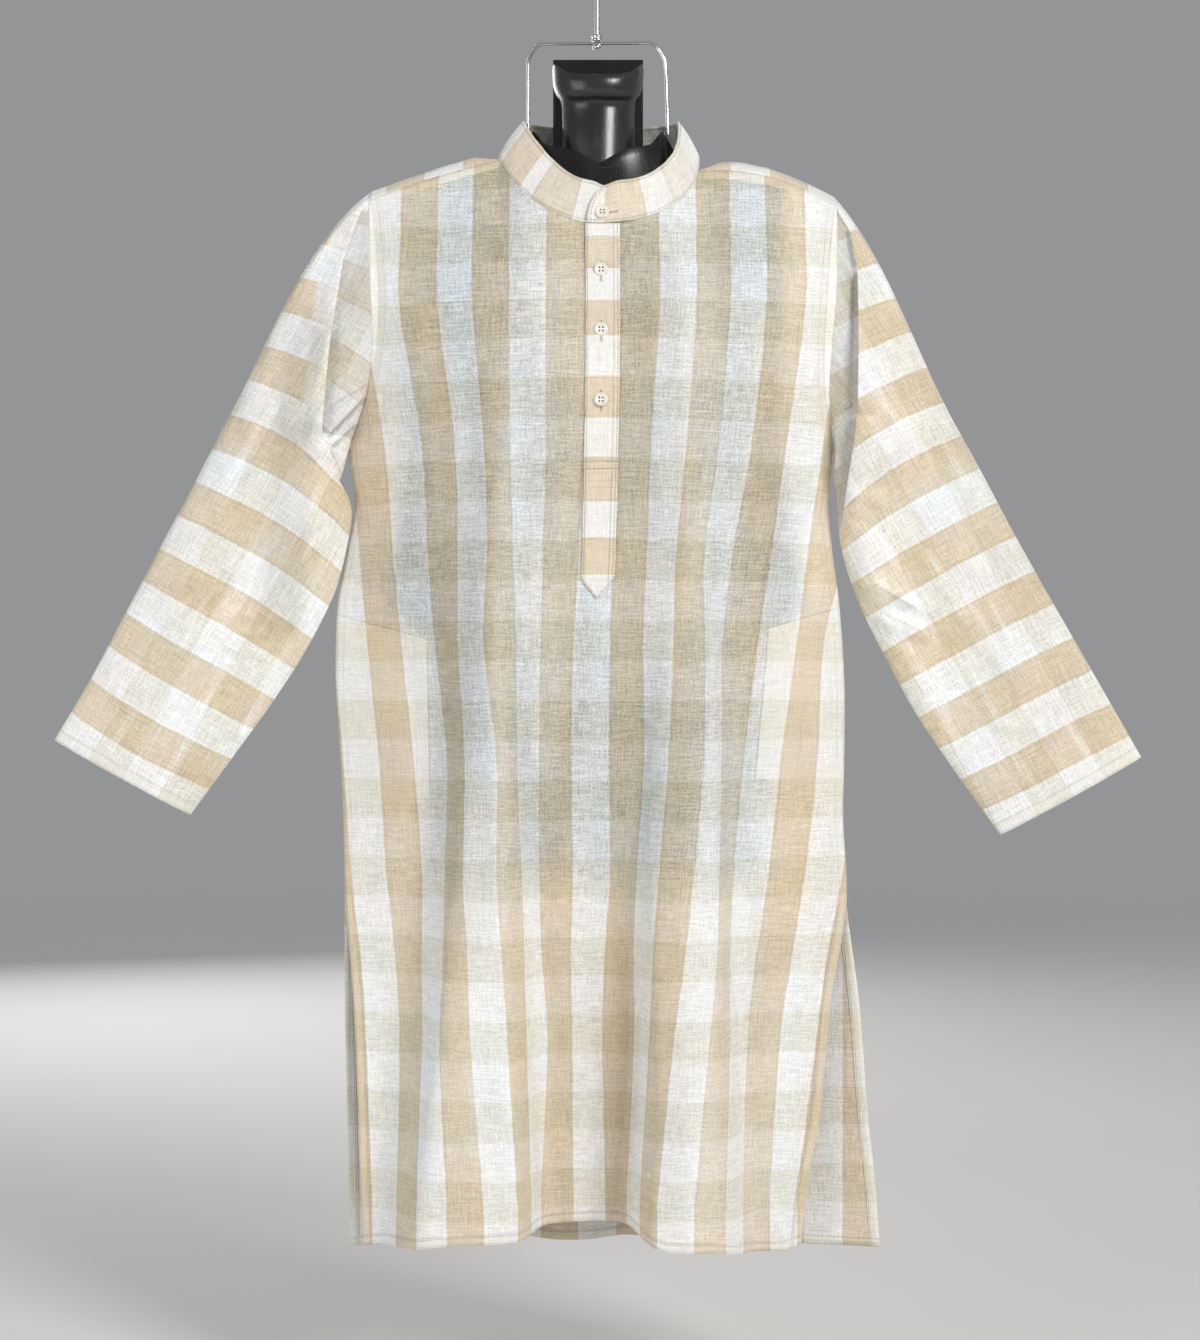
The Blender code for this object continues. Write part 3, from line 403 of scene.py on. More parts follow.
class Finish:
    """A material made of nodes, ending in one Principled shader."""

    def __init__(self, name):
        self.material = bpy.data.materials.new(name)
        self.material.use_nodes = True
        self.tree = self.material.node_tree
        self.shader = self.tree.nodes["Principled BSDF"]

    def feed(self, socket, value):
        """Links a reading to a socket, or sets the socket's own value."""
        if isinstance(value, Reading):
            self.tree.links.new(value.socket, socket)
        elif value is not None:
            socket.default_value = value

    def node(self, kind, settings, *values, give=0, **named):
        """A node of that kind, with its settings, then its sockets' values or links."""
        made = self.tree.nodes.new(kind)
        for name, value in settings.items():
            setattr(made, name, value)
        for key, value in [*enumerate(values), *named.items()]:
            self.feed(made.inputs[key], value)
        return Reading(self, made.outputs[give])

    def attribute(self, name):
        return self.node("ShaderNodeAttribute", {"attribute_name": name}, give=2)

    def distance(self, name):
        """A distance that the piece is marked with, in millimetres."""
        return self.attribute(name) / MM

    def parts(self, vector):
        """The three numbers of a vector."""
        made = self.node("ShaderNodeSeparateXYZ", {}, vector)
        return [Reading(self, socket) for socket in made.socket.node.outputs]

    def spot(self):
        """Where a spot is, in metres."""
        return self.node("ShaderNodeTexCoord", {}, give=3)

    def x_and_height(self):
        """A spot's x and its height above the hem, in millimetres."""
        x, _, z = self.parts(self.spot())
        return x / MM, z / MM + RAIL_HEIGHT

    def vector(self, x, y, z=0.0):
        return self.node("ShaderNodeCombineXYZ", {}, x, y, z)

    def noise(self, vector, scale, detail=2.0, roughness=0.5):
        return self.node(
            "ShaderNodeTexNoise", {}, Vector=vector, Scale=scale, Detail=detail, Roughness=roughness
        )

    def flecks(self, x, y, z=0.0, detail=1.0, roughness=0.5):
        """Noise over two readings; z sets one pattern apart from another."""
        return self.noise(self.vector(x, y, z), 1.0, detail, roughness)

    def drawn_out(self, vector, scale, detail=2.0):
        """Noise that is scaled differently along each axis."""
        return self.noise(self.node("ShaderNodeMapping", {}, vector, Scale=scale), 1.0, detail)

    def tint(self, share, first, second, blend="MIX"):
        """The second colour over the first, by share."""
        made = self.node("ShaderNodeMix", {"data_type": "RGBA", "blend_type": blend}, share, give=2)
        for number, value in ((6, first), (7, second)):
            colour = value if isinstance(value, Reading) else (*value, 1.0)
            self.feed(made.socket.node.inputs[number], colour)
        return made

    def dyed(self, colour, dye):
        """A colour multiplied by another."""
        return self.tint(1.0, colour, dye, "MULTIPLY")

    def crease(self, x, up, ends, half, soft):
        """A fine line between two ends, fading towards both."""
        part, off = beside(x, up, *ends)
        return off.near(0.0, half, soft) * abs(part - 0.5).step(0.55, 0.3)

    def bump(self, height, distance, strength=1.0, under=None):
        return self.node(
            "ShaderNodeBump", {}, Strength=strength, Distance=distance, Height=height, Normal=under
        )

    def set(self, **sockets):
        """Values or links for the shader's own sockets."""
        for name, value in sockets.items():
            self.feed(self.shader.inputs[name.replace("_", " ")], value)


def srgb(*numbers):
    """A colour from the 0 to 255 that a dyer's chart gives."""
    shares = (n / 255 for n in numbers)
    return tuple(s / 12.92 if s <= 0.04045 else ((s + 0.055) / 1.055) ** 2.4 for s in shares)


# The yarn's colours: plain cloth with light behind it, cloth over the black form, and two
# layers of cloth.  Each is given for the cream and the tan stripe.
OPEN_CREAM, OPEN_TAN = srgb(238, 236, 231), srgb(221, 206, 183)
SHADED_CREAM, SHADED_TAN = srgb(207, 209, 208), srgb(190, 182, 165)
DOUBLE_CREAM, DOUBLE_TAN = srgb(236, 234, 227), srgb(220, 206, 184)
# How strongly each thing lightens or darkens the cloth; the cloud is uneven tone together with painted
# soft light.
WARP, WEFT, GRAIN, CLOUD_AND_SHEEN, BANDS = 0.2, 0.25, 0.8, 0.34, 0.1
WEFT_SLUB, WARP_SLUB, DARK_YARN = 0.15, 0.06, 0.09
WEAVE_RELIEF, SEAM_RELIEF = 0.0006, 0.0012     # metres
# What the yarn's colour is multiplied by in uneven places, where the cool tint is uneven tone together
# with a painted bluish sheen, and in the two kinds of band.
COOL_TONE_AND_SHEEN, WARM_PLACE = (0.93, 1.0, 1.07), (1.025, 0.985, 0.91)
WARM_BAND, COOL_BAND = (1.0, 0.998, 0.948), (0.996, 1.0, 1.02)


def check_cloth(name, extras=None, shift=None):
    """The check cloth.  It reads the piece's "check" map, in stripes across and bands along,
    and its "shaded" and "doubled" attributes, which are 0 where it has none.  Extras adds
    what only this piece has: it gets the finish and gives back doubled, dark, raised and how
    far the tan is left out.  Shift gives by how many stripes the check starts anew."""
    finish = Finish(name)
    spot = finish.node("ShaderNodeUVMap", {"uv_map": "check"})
    stripe, band, _ = finish.parts(spot)
    if shift:
        stripe = stripe + shift(finish)
    slow = finish.noise(spot, 1.3, 3.0)
    wander = (slow - 0.5) * 0.05
    fine_edge = finish.flecks(stripe * 0.6, band * 30.0)
    from_cream = abs((stripe + wander + (fine_edge - 0.5) * 0.04 + 1.0) % 2.0 - 1.0)
    tan_share = from_cream.step(0.475, 0.525)
    selvage = from_cream.near(0.545, 0.012, 0.022) * 0.06 - from_cream.near(0.45, 0.014, 0.02) * 0.03
    band_edge = finish.flecks(stripe * 30.0, band * 0.6)
    pale_band = abs((band + wander + (band_edge - 0.5) * 0.06) % 2.0 - 0.5).step(0.56, 0.44)

    doubled = finish.attribute("doubled")
    shaded = finish.attribute("shaded")
    dark, raised = None, None
    if extras:
        more, dark, raised, plain = extras(finish)
        if more is not None:
            doubled = doubled.most(more)
        if plain is not None:
            tan_share = tan_share * (1.0 - plain)
    touch = finish.flecks(stripe * 0.7, band * 0.13, 9.0, 2.0).step(0.36, 0.62)
    shaded = shaded * (1.0 - doubled) * (0.5 + touch * 0.5)

    # Yarns run both ways; slubs are the thick places that a hand-spun yarn has.
    warp = finish.flecks(stripe * 21.0, band * 1.9, 0.0, 3.0, 0.7).step(0.34, 0.66)
    weft = finish.flecks(stripe * 1.6, band * 21.0, 0.0, 3.0, 0.7).step(0.34, 0.66)
    warp_slub = finish.flecks(stripe * 17.0, band * 0.8, 4.0).step(0.6, 0.7)
    weft_slub = finish.flecks(stripe * 0.8, band * 17.0, 7.0).step(0.58, 0.7)
    dark_yarn = finish.flecks(stripe * 15.0, band * 0.5, 13.0).step(0.62, 0.7)
    grain = finish.flecks(stripe * 19.0, band * 19.0, 2.0, 2.0, 0.6)
    cloud = finish.flecks(stripe * 0.8, band * 0.14, 5.0, 2.0)
    warmth = finish.flecks(stripe * 0.6, band * 0.5, 11.0, 2.0).step(0.4, 0.66)

    open_cloth = finish.tint(tan_share, OPEN_CREAM, OPEN_TAN)
    shaded_cloth = finish.tint(tan_share, SHADED_CREAM, SHADED_TAN)
    double_cloth = finish.tint(tan_share, DOUBLE_CREAM, DOUBLE_TAN)
    colour = finish.tint(shaded, open_cloth, shaded_cloth)
    colour = finish.tint(doubled, colour, double_cloth)
    # Where the cloud is high the cloth is bluer and lighter: uneven tone together with painted soft
    # streaks of light.
    cool_share = cloud.step(0.42, 0.66) * 0.6 * (1.0 - doubled)
    colour = finish.tint(cool_share, colour, finish.dyed(colour, COOL_TONE_AND_SHEEN))

    yarn = (warp - 0.5) * WARP + (weft - 0.5) * WEFT + (grain - 0.5) * GRAIN
    yarn = yarn * (0.8 + shaded * 0.5 - doubled * 0.3)
    slubs = (weft_slub * WEFT_SLUB + warp_slub * WARP_SLUB) * (0.35 + shaded * 0.65)
    slubs = slubs - dark_yarn * tan_share * DARK_YARN
    bands = (pale_band - 0.5) * (BANDS + shaded * 0.02 - doubled * 0.02)
    level = 1.0 + yarn + slubs + bands + (cloud - 0.5) * CLOUD_AND_SHEEN * (1.0 - doubled * 0.4) - selvage
    if dark is not None:
        level = level * (1.0 - dark)
    colour = finish.dyed(colour, finish.vector(level, level, level))
    colour = finish.tint(warmth * (0.35 + tan_share * 0.5), colour, finish.dyed(colour, WARM_PLACE))
    colour = finish.tint(pale_band, finish.dyed(colour, WARM_BAND), finish.dyed(colour, COOL_BAND))

    weave = warp * 0.25 + weft * 0.25 + grain * 0.4 + warp_slub * 0.4 + weft_slub * 0.5
    normal = finish.bump(weave, WEAVE_RELIEF, 0.75)
    if raised is not None:
        normal = finish.bump(raised, SEAM_RELIEF, 0.8, normal)
    finish.set(Base_Color=colour, Roughness=0.88 + (warp - 0.5) * 0.1, Normal=normal)
    finish.set(Sheen_Weight=0.25, Sheen_Roughness=0.5, Specular_IOR_Level=0.25)
    return finish.material


def in_scene(name, data):
    """An object for a mesh, curve, lamp or camera, linked to the scene."""
    made = bpy.data.objects.new(name, data)
    bpy.context.scene.collection.objects.link(made)
    return made


def lay_cloth(name, point, columns, rows, wall, mark, material, flip=False, closed=False):
    """A panel: a grid laid on point(column, row), mapped by mark(column, row, x, y, height),
    which gives its place in the check and its attributes, then given its wall."""
    bm = bmesh.new()
    bmesh.ops.create_grid(bm, x_segments=columns, y_segments=rows, size=1.0)
    check = bm.loops.layers.uv.new("check")
    names = mark(0, 0, *point(0, 0))[1]
    layers = {key: bm.verts.layers.float.new(key) for key in names}
    marks = {}
    for vert in bm.verts:
        column = round((vert.co.x + 1) / 2 * columns)
        row = round((vert.co.y + 1) / 2 * rows)
        x, y, height = point(column, row)
        vert.co = mm(x, y, height)
        spot, values = mark(column, row, x, y, height)
        marks[vert] = spot
        for key, value in values.items():
            vert[layers[key]] = value
    for face in bm.faces:
        for loop in face.loops:
            loop[check].uv = marks[loop.vert]
    if closed:
        bmesh.ops.remove_doubles(bm, verts=bm.verts, dist=0.00001)
    if flip:
        bmesh.ops.reverse_faces(bm, faces=bm.faces)
    mesh = bpy.data.meshes.new(name)
    bm.to_mesh(mesh)
    bm.free()
    mesh.shade_smooth()
    piece = in_scene(name, mesh)
    mesh.materials.append(material)
    thick = piece.modifiers.new("wall", "SOLIDIFY")
    thick.thickness = wall * MM
    thick.offset = -1.0
    return piece


def fixed(piece, node):
    """What every piece is: fixed to the one body, in its CAD node's place where it has one."""
    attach(piece, "root")
    if node:
        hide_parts(node)


def cut_and_sewn(piece, node):
    """What every cloth piece is: fixed, as every piece is."""
    fixed(piece, node)


FORM_X = -3.0                # the black form's middle
FORM_SHOWS_FROM = 322        # the height where the form starts to show through
# Half the width over which the form and the dark beside it show through, by height.
FORM_SHADOW = (
    (330, 150), (450, 160), (545, 156), (572, 158), (598, 188), (660, 180), (740, 172), (870, 172),
    (960, 176),
)
form_shadow = Course(FORM_SHADOW, 1)
HEM_FOLD = 9.2               # the depth of the turned hem and slit edges
SEAM_ALLOWANCE = 11.0
LEFT_SLIT, RIGHT_SLIT = 278.0, 330.0    # the heights where the side slits start


def form_shade(x, height, past, soft):
    """How much of the black form shows through a spot, up to how far past its edge."""
    edge = smooth((form_shadow(height) + past - abs(x - FORM_X)) / soft)
    return smooth((height - FORM_SHOWS_FROM) / 60) * edge


def front_mark(column, row, x, y, height):
    """The front's place in the check, and its distances from its edges."""
    left, right = front_courses[0](height), front_courses[1](height)
    side = min(x - left, right - x)
    place = across(front_courses, x, height)
    top = top_edge(max(-1.0, min(1.0, front_places[column])), False)[2] - height
    values = {
        "shaded": form_shade(x, height, 14, 26),
        "from_side": side * MM,
        "from_hem": (height - hem_height(x)) * MM,
        "from_top": top * MM,
        "side_turn": place,
    }
    return (stripe_at(x, height), (height - BAND_EDGE) / BAND + 1), values


# Pocket bags, which show through: inner x at the top and foot, then heights at the side
# seam and at the inner edge, top and foot.
POCKETS = {
    "right": (-156.0, -154.0, 590.0, 568.0, 410.0, 422.0),
    "left": (158.0, 146.0, 598.0, 578.0, 425.0, 438.0),
}
POCKET_SIDES = {"right": -240.0, "left": 228.0}


def pocket_bags(x, height, inset=0.0, lower=0.0):
    """1 over the pocket bags, as they show through, less a border at their insides and tops."""
    bags = []
    for name, (top_x, foot_x, side_top, inner_top, side_foot, inner_foot) in POCKETS.items():
        side = POCKET_SIDES[name]
        toward = 1 if name == "right" else -1
        out = (x - side) / (top_x - side)
        top = side_top + out * (inner_top - side_top)
        foot = side_foot + out * (inner_foot - side_foot)
        inner = foot_x + (height - inner_foot) / (inner_top - inner_foot) * (top_x - foot_x)
        inside = ((inner - toward * inset - x) * toward).step(-0.4, 0.4)
        bags.append(inside * (top - height - lower).step(-0.6, 0.6) * (height - foot).step(-0.6, 0.6))
    return most_of(bags)


# Painted light and shade on the front: where its soft folds catch the light or lie in their own shade,
# and painted shade beside the wearer's right armhole and above the pocket bags.  The ends as x and
# height, the width, and how much brighter.
FRONT_RIDGES = (
    (-52, 900, -72, 240, 27, 0.1), (-104, 325, -98, 63, 14, 0.04), (108, 900, 108, 260, 24, 0.1),
    (116, 360, 130, -20, 36, 0.1), (-126, 900, -106, 180, 26, -0.085), (28, 780, 42, -20, 46, -0.1),
    (57, 930, 60, 620, 20, -0.1), (-198, 1010, -196, 740, 26, -0.09), (171, 740, 171, 560, 22, -0.11),
    (-206, 700, -180, 555, 42, -0.12),
)
STITCHES = 0.36              # stitches to a millimetre of cloth
ROW = (0.25, 0.35)           # half a stitch row's width, and how soft it is beside it
EDGE_LINE = (0.25, 0.4)      # the same for the line where a turned edge ends
EDGE_LINE_OFF = 0.2          # how far beyond the turned edge that line lies
HEM_ROW = HEM_FOLD - 1.6     # the stitch row's distance from the edge
SEAM_ROW = 7.5
FACING = 11.5                # the strip along a pocket bag's inside where the cloth is doubled
FACING_ROW = 10.4
BAG_SEAM = (1.8, 2.4)        # the bag's light seam: its width at the inside, and at the top
BAG_SHADOW = -1.4            # how far the bag's shadow reaches beyond its seam
ARMHOLE_FROM, ARMHOLE_TO = 745.0, 765.0     # the heights over which the side seam ends
OUTER_PART = (0.42, 0.45)    # the places across between which the shoulder's allowance starts


def sewn_edges(finish, slit_top, waver):
    """The turned slits and hem, their stitches, the side seams' allowances and the folds' lines."""
    x, height = finish.x_and_height()
    side, hem = finish.distance("from_side"), finish.distance("from_hem")
    ragged = (finish.flecks(x * 0.2, height * 0.2, detail=2.0) - 0.5) * 2.4
    slit = (height - slit_top).step(3.0, -3.0)
    turned = (side + ragged * waver).within(HEM_FOLD, 0.4) * slit
    turned = turned.most((hem + ragged * waver).within(HEM_FOLD, 0.4))
    seam = (side + ragged).within(SEAM_ALLOWANCE, 1.0) * (1.0 - slit)
    stitch = side.near(HEM_ROW, *ROW) * height.dashes(STITCHES) * slit
    stitch = stitch.most(hem.near(HEM_ROW, *ROW) * x.dashes(STITCHES))
    line = side.near(HEM_FOLD + EDGE_LINE_OFF, *EDGE_LINE) * slit
    return x, height, side, hem, ragged, slit, turned, seam, stitch, line


def front_extras(finish):
    """The front's turned edges, seam allowances, pocket bags and stitch lines, with painted light and
    shade along its folds, creases, armholes and edges.
    """
    place = finish.attribute("side_turn")
    slit_top = LEFT_SLIT + place.step(-0.1, 0.1) * (RIGHT_SLIT - LEFT_SLIT)
    x, height, side, hem, ragged, slit, turned, seam, stitch, line = sewn_edges(finish, slit_top, 0.3)
    shoulder = (finish.distance("from_top") + ragged).within(8.5, 1.0) * abs(place).step(*OUTER_PART)
    seam = seam.most(shoulder) * 0.8
    bags = pocket_bags(x, height)
    facing = bags - pocket_bags(x, height, FACING)
    outline = bags - pocket_bags(x, height, *BAG_SEAM)
    # Painted shadow in a thin band just outside each pocket bag's seam.
    bag_shadow_line = pocket_bags(x, height, BAG_SHADOW, BAG_SHADOW) - bags
    facing_row = facing * pocket_bags(x, height, FACING_ROW)
    doubled = most_of((turned, seam, bags * 0.8, facing * 0.95))

    stitch = stitch.most(side.near(SEAM_ROW, 0.2, 0.3) * height.dashes(STITCHES) * (1.0 - slit) * 0.5)
    line = line.most(hem.near(HEM_FOLD + EDGE_LINE_OFF, *EDGE_LINE))
    dark = most_of((stitch * 0.2, line * 0.2, bag_shadow_line * 0.2, facing_row * 0.1))
    dark = dark - facing * 0.07 - outline * 0.08 - bags * 0.02
    raised = turned * 0.5 + facing * 0.2 + bags * 0.2 + seam * 0.25 - stitch * 0.5
    # Painted lines along the creases: a painted highlight on a raised crease, painted shade along a
    # sunken one.
    for *ends, _, depth in FRONT_CREASES:
        dark = dark - finish.crease(x, height, ends, 0.3, 0.6) * (depth * 0.11)
    # Painted light and shade along the front's soft folds; the painted highlights also take out some
    # tan, for a bluish sheen.
    painted_highlights = []
    for *ends, half, brighter in FRONT_RIDGES:
        ridge = finish.crease(x, height, ends, half * 0.5, half)
        if brighter > 0:
            painted_highlights.append(ridge)
        else:
            ridge = ridge * (1.0 - bags)
        dark = dark - ridge * brighter
    # Painted shade in a fine line just inside the armhole seam and a painted highlight along its very
    # edge; then a painted highlight along the turned slit edges and hem.
    armhole_edge = height.step(ARMHOLE_FROM, ARMHOLE_TO)
    dark = dark.most(side.near(2.0, 0.3, 0.5) * armhole_edge * 0.12)
    dark = dark - side.within(1.0, 0.3) * armhole_edge * 0.14
    dark = dark - (side.step(1.8, 0.5) * slit).most(hem.step(1.4, 0.4)) * 0.12
    return doubled, dark, raised, (facing * 0.8).most(most_of(painted_highlights) * 0.3)


def column_places(columns):
    """Places of the columns across the front or back, with one at each end of the neck."""
    neck = round(columns * NECK_SHARE)
    neck += (columns - neck) % 2
    side = (columns - neck) // 2
    places = [-1 + (1 - NECK_SHARE) * i / side for i in range(side)]
    places += [-NECK_SHARE + 2 * NECK_SHARE * i / neck for i in range(neck)]
    places += [NECK_SHARE + (1 - NECK_SHARE) * i / side for i in range(side + 1)]
    return places


front_places = column_places(FRONT_COLUMNS)
front = lay_cloth(
    "front_panel", lambda i, j: front_skin(front_places[i], j / FRONT_ROWS), FRONT_COLUMNS, FRONT_ROWS,
    CLOTH, front_mark, check_cloth("check_front", front_extras),
)
cut_and_sewn(front, "front")

# ----------------------------------------
# BACK.  One panel that comes over the shoulders to a seam in front of their ridge.  It falls
# free in soft folds, is longer and wider than the front at the slits, and is hemmed alike.

# The back's edges and its depth, to where it turns over the shoulders; columns as in front.
BACK_SECTIONS = (
    (0, -232, 265, 10, 4, 36),
    (64, -233.5, 260, 10, 4, 38),
    (120, -234.5, 254, 9, 4, 39),
    (232, -236.5, 245, 6, 3, 42),
    (325, -236, 233, 2, 1, 44),
    (400, -237, 230, 0, 0, 45),
    (460, -240, 231, 0, 0, 45),
    (530, -244, 231, 0, 0, 45),
    (605, -242, 226, 0, 0, 46),
    (650, -234, 220, 0, 0, 47),
    (700, -226, 217, 0, 0, 48),
    (748, -232, 220, 2, 2, 50),
    (770, -223, 216, 13, 13, 51),
    (800, -211, 210, 23, 23, 52),
    (840, -202, 209, 30, 30, 52),
    (880, -200, 211, 34, 34, 51),
    (930, -203, 215, 33, 33, 48),
)
# For each ridge, rows of height, x, half-width, rise
BACK_FOLDS = {
    "outer left": ((700, -150, 34, 0), (350, -158, 30, 9), (0, -168, 26, 20)),
    "inner left": ((780, -60, 34, 0), (350, -70, 28, 12), (0, -76, 24, 27)),
    "inner right": ((740, 40, 32, 0), (350, 34, 30, 10), (0, 28, 26, 24)),
    "outer right": ((700, 140, 34, 0), (350, 138, 28, 11), (0, 146, 24, 25)),
}
SIDE_GAP = 1.7               # between the outer faces of front and back at a side seam
SHOULDER_GAP = (0.32, 0.24)  # how far behind and above the front the back's edge lies there
TURN_HEIGHT = 930            # above this the back turns over the shoulders
BACK_TURN = 0.74             # the share of the back's rows below that
BACK_CREST_REACH = 26.0
BACK_CREST_NECK = 16.0
BACK_CREST = (8.0, -28.0, 30.0, -16.0)   # plain height, then what each place adds
BACK_CREST_FOOT = 60.0
BACK_COLUMNS = 120
BACK_ROWS = 220
BACK_SLITS = 300.0           # where the back's slit edges stop being turned
OVER_SHOULDER = (110.0, 92.0)    # the cloth's length over the shoulder, and at the neck
HALF_CHEST = 215.0

back_courses = courses(BACK_SECTIONS)
back_folds = [courses(rows) for rows in BACK_FOLDS.values()]


def back_depth(x, height):
    """The back's depth with its soft ridges."""
    rise = 0.0
    for ridge, width, step in back_folds:
        rise += step(height) * exp(-(((x - ridge(height)) / width(height)) ** 2))
    fade = 1 - abs(across(back_courses, x, height)) ** 8
    return section_depth(back_courses, x, height) + rise * fade


def drawn_curve(part, *points):
    """A point of the curve that leaves its first point for the second and ends from the third."""
    weights = ((1 - part) ** 3, 3 * part * (1 - part) ** 2, 3 * part * part * (1 - part), part ** 3)
    return tuple(sum(w * p[axis] for w, p in zip(weights, points)) for axis in range(3))


def back_point(place, rise):
    """A point of the back's outer face, over the shoulder to the forward seam."""
    height = TURN_HEIGHT * min(1.0, rise / BACK_TURN)
    x = between(back_courses[0](height), back_courses[1](height), place)
    depth = SIDE_GAP + back_depth(x, height)
    if rise <= BACK_TURN:
        return x, depth, height
    part = (rise - BACK_TURN) / (1 - BACK_TURN)
    end_x, end_y, end_height = top_edge(place, True)
    share = abs(place) / NECK_SHARE
    neck = smooth((1 - share) / 0.7)
    beside = smooth((share - 0.95) / 0.35)
    out = max(0.0, abs(place) - NECK_SHARE) / (1 - NECK_SHARE)
    if abs(place) > NECK_SHARE * 0.999:
        end_y += SHOULDER_GAP[0]
        end_height += SHOULDER_GAP[1]
    plain, at_neck, at_side, at_tip = BACK_CREST
    crest = plain + at_neck * neck + at_side * beside + at_tip * out
    return drawn_curve(
        part,
        (x, depth, height),
        (x, depth - 2, height + BACK_CREST_FOOT),
        (end_x, end_y + BACK_CREST_REACH - BACK_CREST_NECK * neck, end_height + crest),
        (end_x, end_y, end_height),
    )


def back_skin(place, rise):
    """The back as it hangs, with its fine unevenness."""
    x, depth, height = back_point(place, rise)
    far = min(1.0, (1 - abs(place)) / PLAIN_EDGE) * min(1.0, (1 - rise) / 0.03)
    depth += rumple(x, 40, height * 0.35, 26.0, 1.3, 13.0) * far
    depth += rumple(x, 40, height * 0.8, 11.0, 0.4, 17.0) * far
    return x, depth, height + rumple(x, 60, height, 14.0, 0.5, 33.0) * far * smooth((height - 960) / 30)


def back_mark(column, row, x, y, height):
    """The back's place in the check.  Over the shoulder the bands go on along the cloth."""
    rise = row / BACK_ROWS
    place = back_places[column]
    left, right = back_courses[0](height), back_courses[1](height)
    over = max(0.0, rise - BACK_TURN) / (1 - BACK_TURN)
    beyond_neck = abs(place) > NECK_SHARE
    along_cloth = height if not over else TURN_HEIGHT + over * OVER_SHOULDER[not beyond_neck]
    values = {
        "shaded": 0.75 * form_shade(x, height, 6, 30),
        "from_side": min(x - left, right - x) * MM if not over else (1 - abs(place)) * HALF_CHEST * MM,
        "from_hem": height * MM,
        "from_top": (1 - over) * 0.1 if beyond_neck else 0.1,
    }
    return (x / STRIPE + 40, (along_cloth - BAND_EDGE) / BAND + 41), values


def back_extras(finish):
    """The back's turned edges, seam allowances and stitch lines."""
    _, _, side, _, ragged, slit, turned, seam, stitch, line = sewn_edges(finish, BACK_SLITS, 0.0)
    seam = seam.most((finish.distance("from_top") + ragged).within(10.0, 1.0)) * 0.8
    # A painted highlight along the turned slit edges.
    dark = (stitch * 0.2).most(line * 0.2) - side.step(1.6, 0.5) * slit * 0.12
    plain = turned * side.within(HEM_FOLD, 0.4) * 0.75
    return turned.most(seam), dark, turned * 0.5 + seam * 0.25 - stitch * 0.5, plain


back_places = column_places(BACK_COLUMNS)
back = lay_cloth(
    "back_panel", lambda i, j: back_skin(back_places[i], j / BACK_ROWS), BACK_COLUMNS, BACK_ROWS,
    CLOTH, back_mark, check_cloth("check_back", back_extras), flip=True,
)
cut_and_sewn(back, "back")

# ----------------------------------------
# SLEEVES.  Each is one piece of the check with its stripes running round the arm, sewn up
# under the arm and set into the armhole.  They hang flat.  Behind a long fold the head's
# cloth is turned under towards the armhole; soft ridges and creases run further down.

# distance down the sleeve from the shoulder tip, outer and inner edge across it, front and
# back depth; where the axis starts, how it leans, how steeply the crown leaves the shoulder
SLEEVES = {
    "right": {
        "start": (-237.2, 963.9), "lean": 28.9, "side": -1, "crown": 0.7,
        "rows": (
            (218, -2, 117, 34, 26), (230, -2, 135, 33, 25), (246, -1, 145, 32, 25),
            (264, -1, 151.3, 31, 24), (290, 0, 159, 29, 22), (315, 0, 164, 27, 21),
            (370, 1, 166, 25, 19),
            (430, 2, 162, 22, 17), (495, 3, 154, 19, 15), (558, 1, 146, 15, 13),
        ),
    },
    "left": {
        "start": (240.0, 960.0), "lean": 28.9, "side": 1, "crown": 1.1,
        "rows": (
            (212, 10, 136, 34, 26), (260, 10, 158, 31, 24), (315, 11, 169, 27, 21),
            (375, 11, 172, 25, 19), (435, 10, 172, 22, 17), (500, 9, 166, 19, 15), (568, 8, 158, 15, 13),
        ),
    },
}
SLEEVE_HEAD = 0.42           # the share of the sleeve's rise that runs from the tube to the armhole
SLEEVE_PULL = 0.9            # how far the head keeps the direction it leaves in
SLEEVE_DEPTH = -4.0          # y of the sleeve's axis
ARMHOLE_GAP = -0.5           # below 0 the sleeve is let into the armhole
UNDERARM = 748
BULGE_POWER = 1.3            # how round the flat tube's two faces are
SLEEVE_COLUMNS = 176
SLEEVE_ROWS = 170
HEAD_ROW = 3.5               # about what a row near the armhole is long

# How the stripes lie on each sleeve: distance of the first tan edge, a stripe's width,
# the first cross stripe's edge, and how far they droop: distance, outer edge, inner edge.
SLEEVE_CHECK = {
    "right": (63.9, 35.95, 4.0, (
        (60, 6, 2), (150, 6, 8), (230, 6, 16), (290, 4, 12), (355, 3, 8), (425, -2, 2), (530, -4, -3),
    )),
    "left": (78.4, 35.63, 48.0, (
        (80, 4, 3), (150, 4, 4), (190, 5, 8), (232, 4, 11), (300, 3, 4), (400, 5, 1), (540, 4, -2),
    )),
}
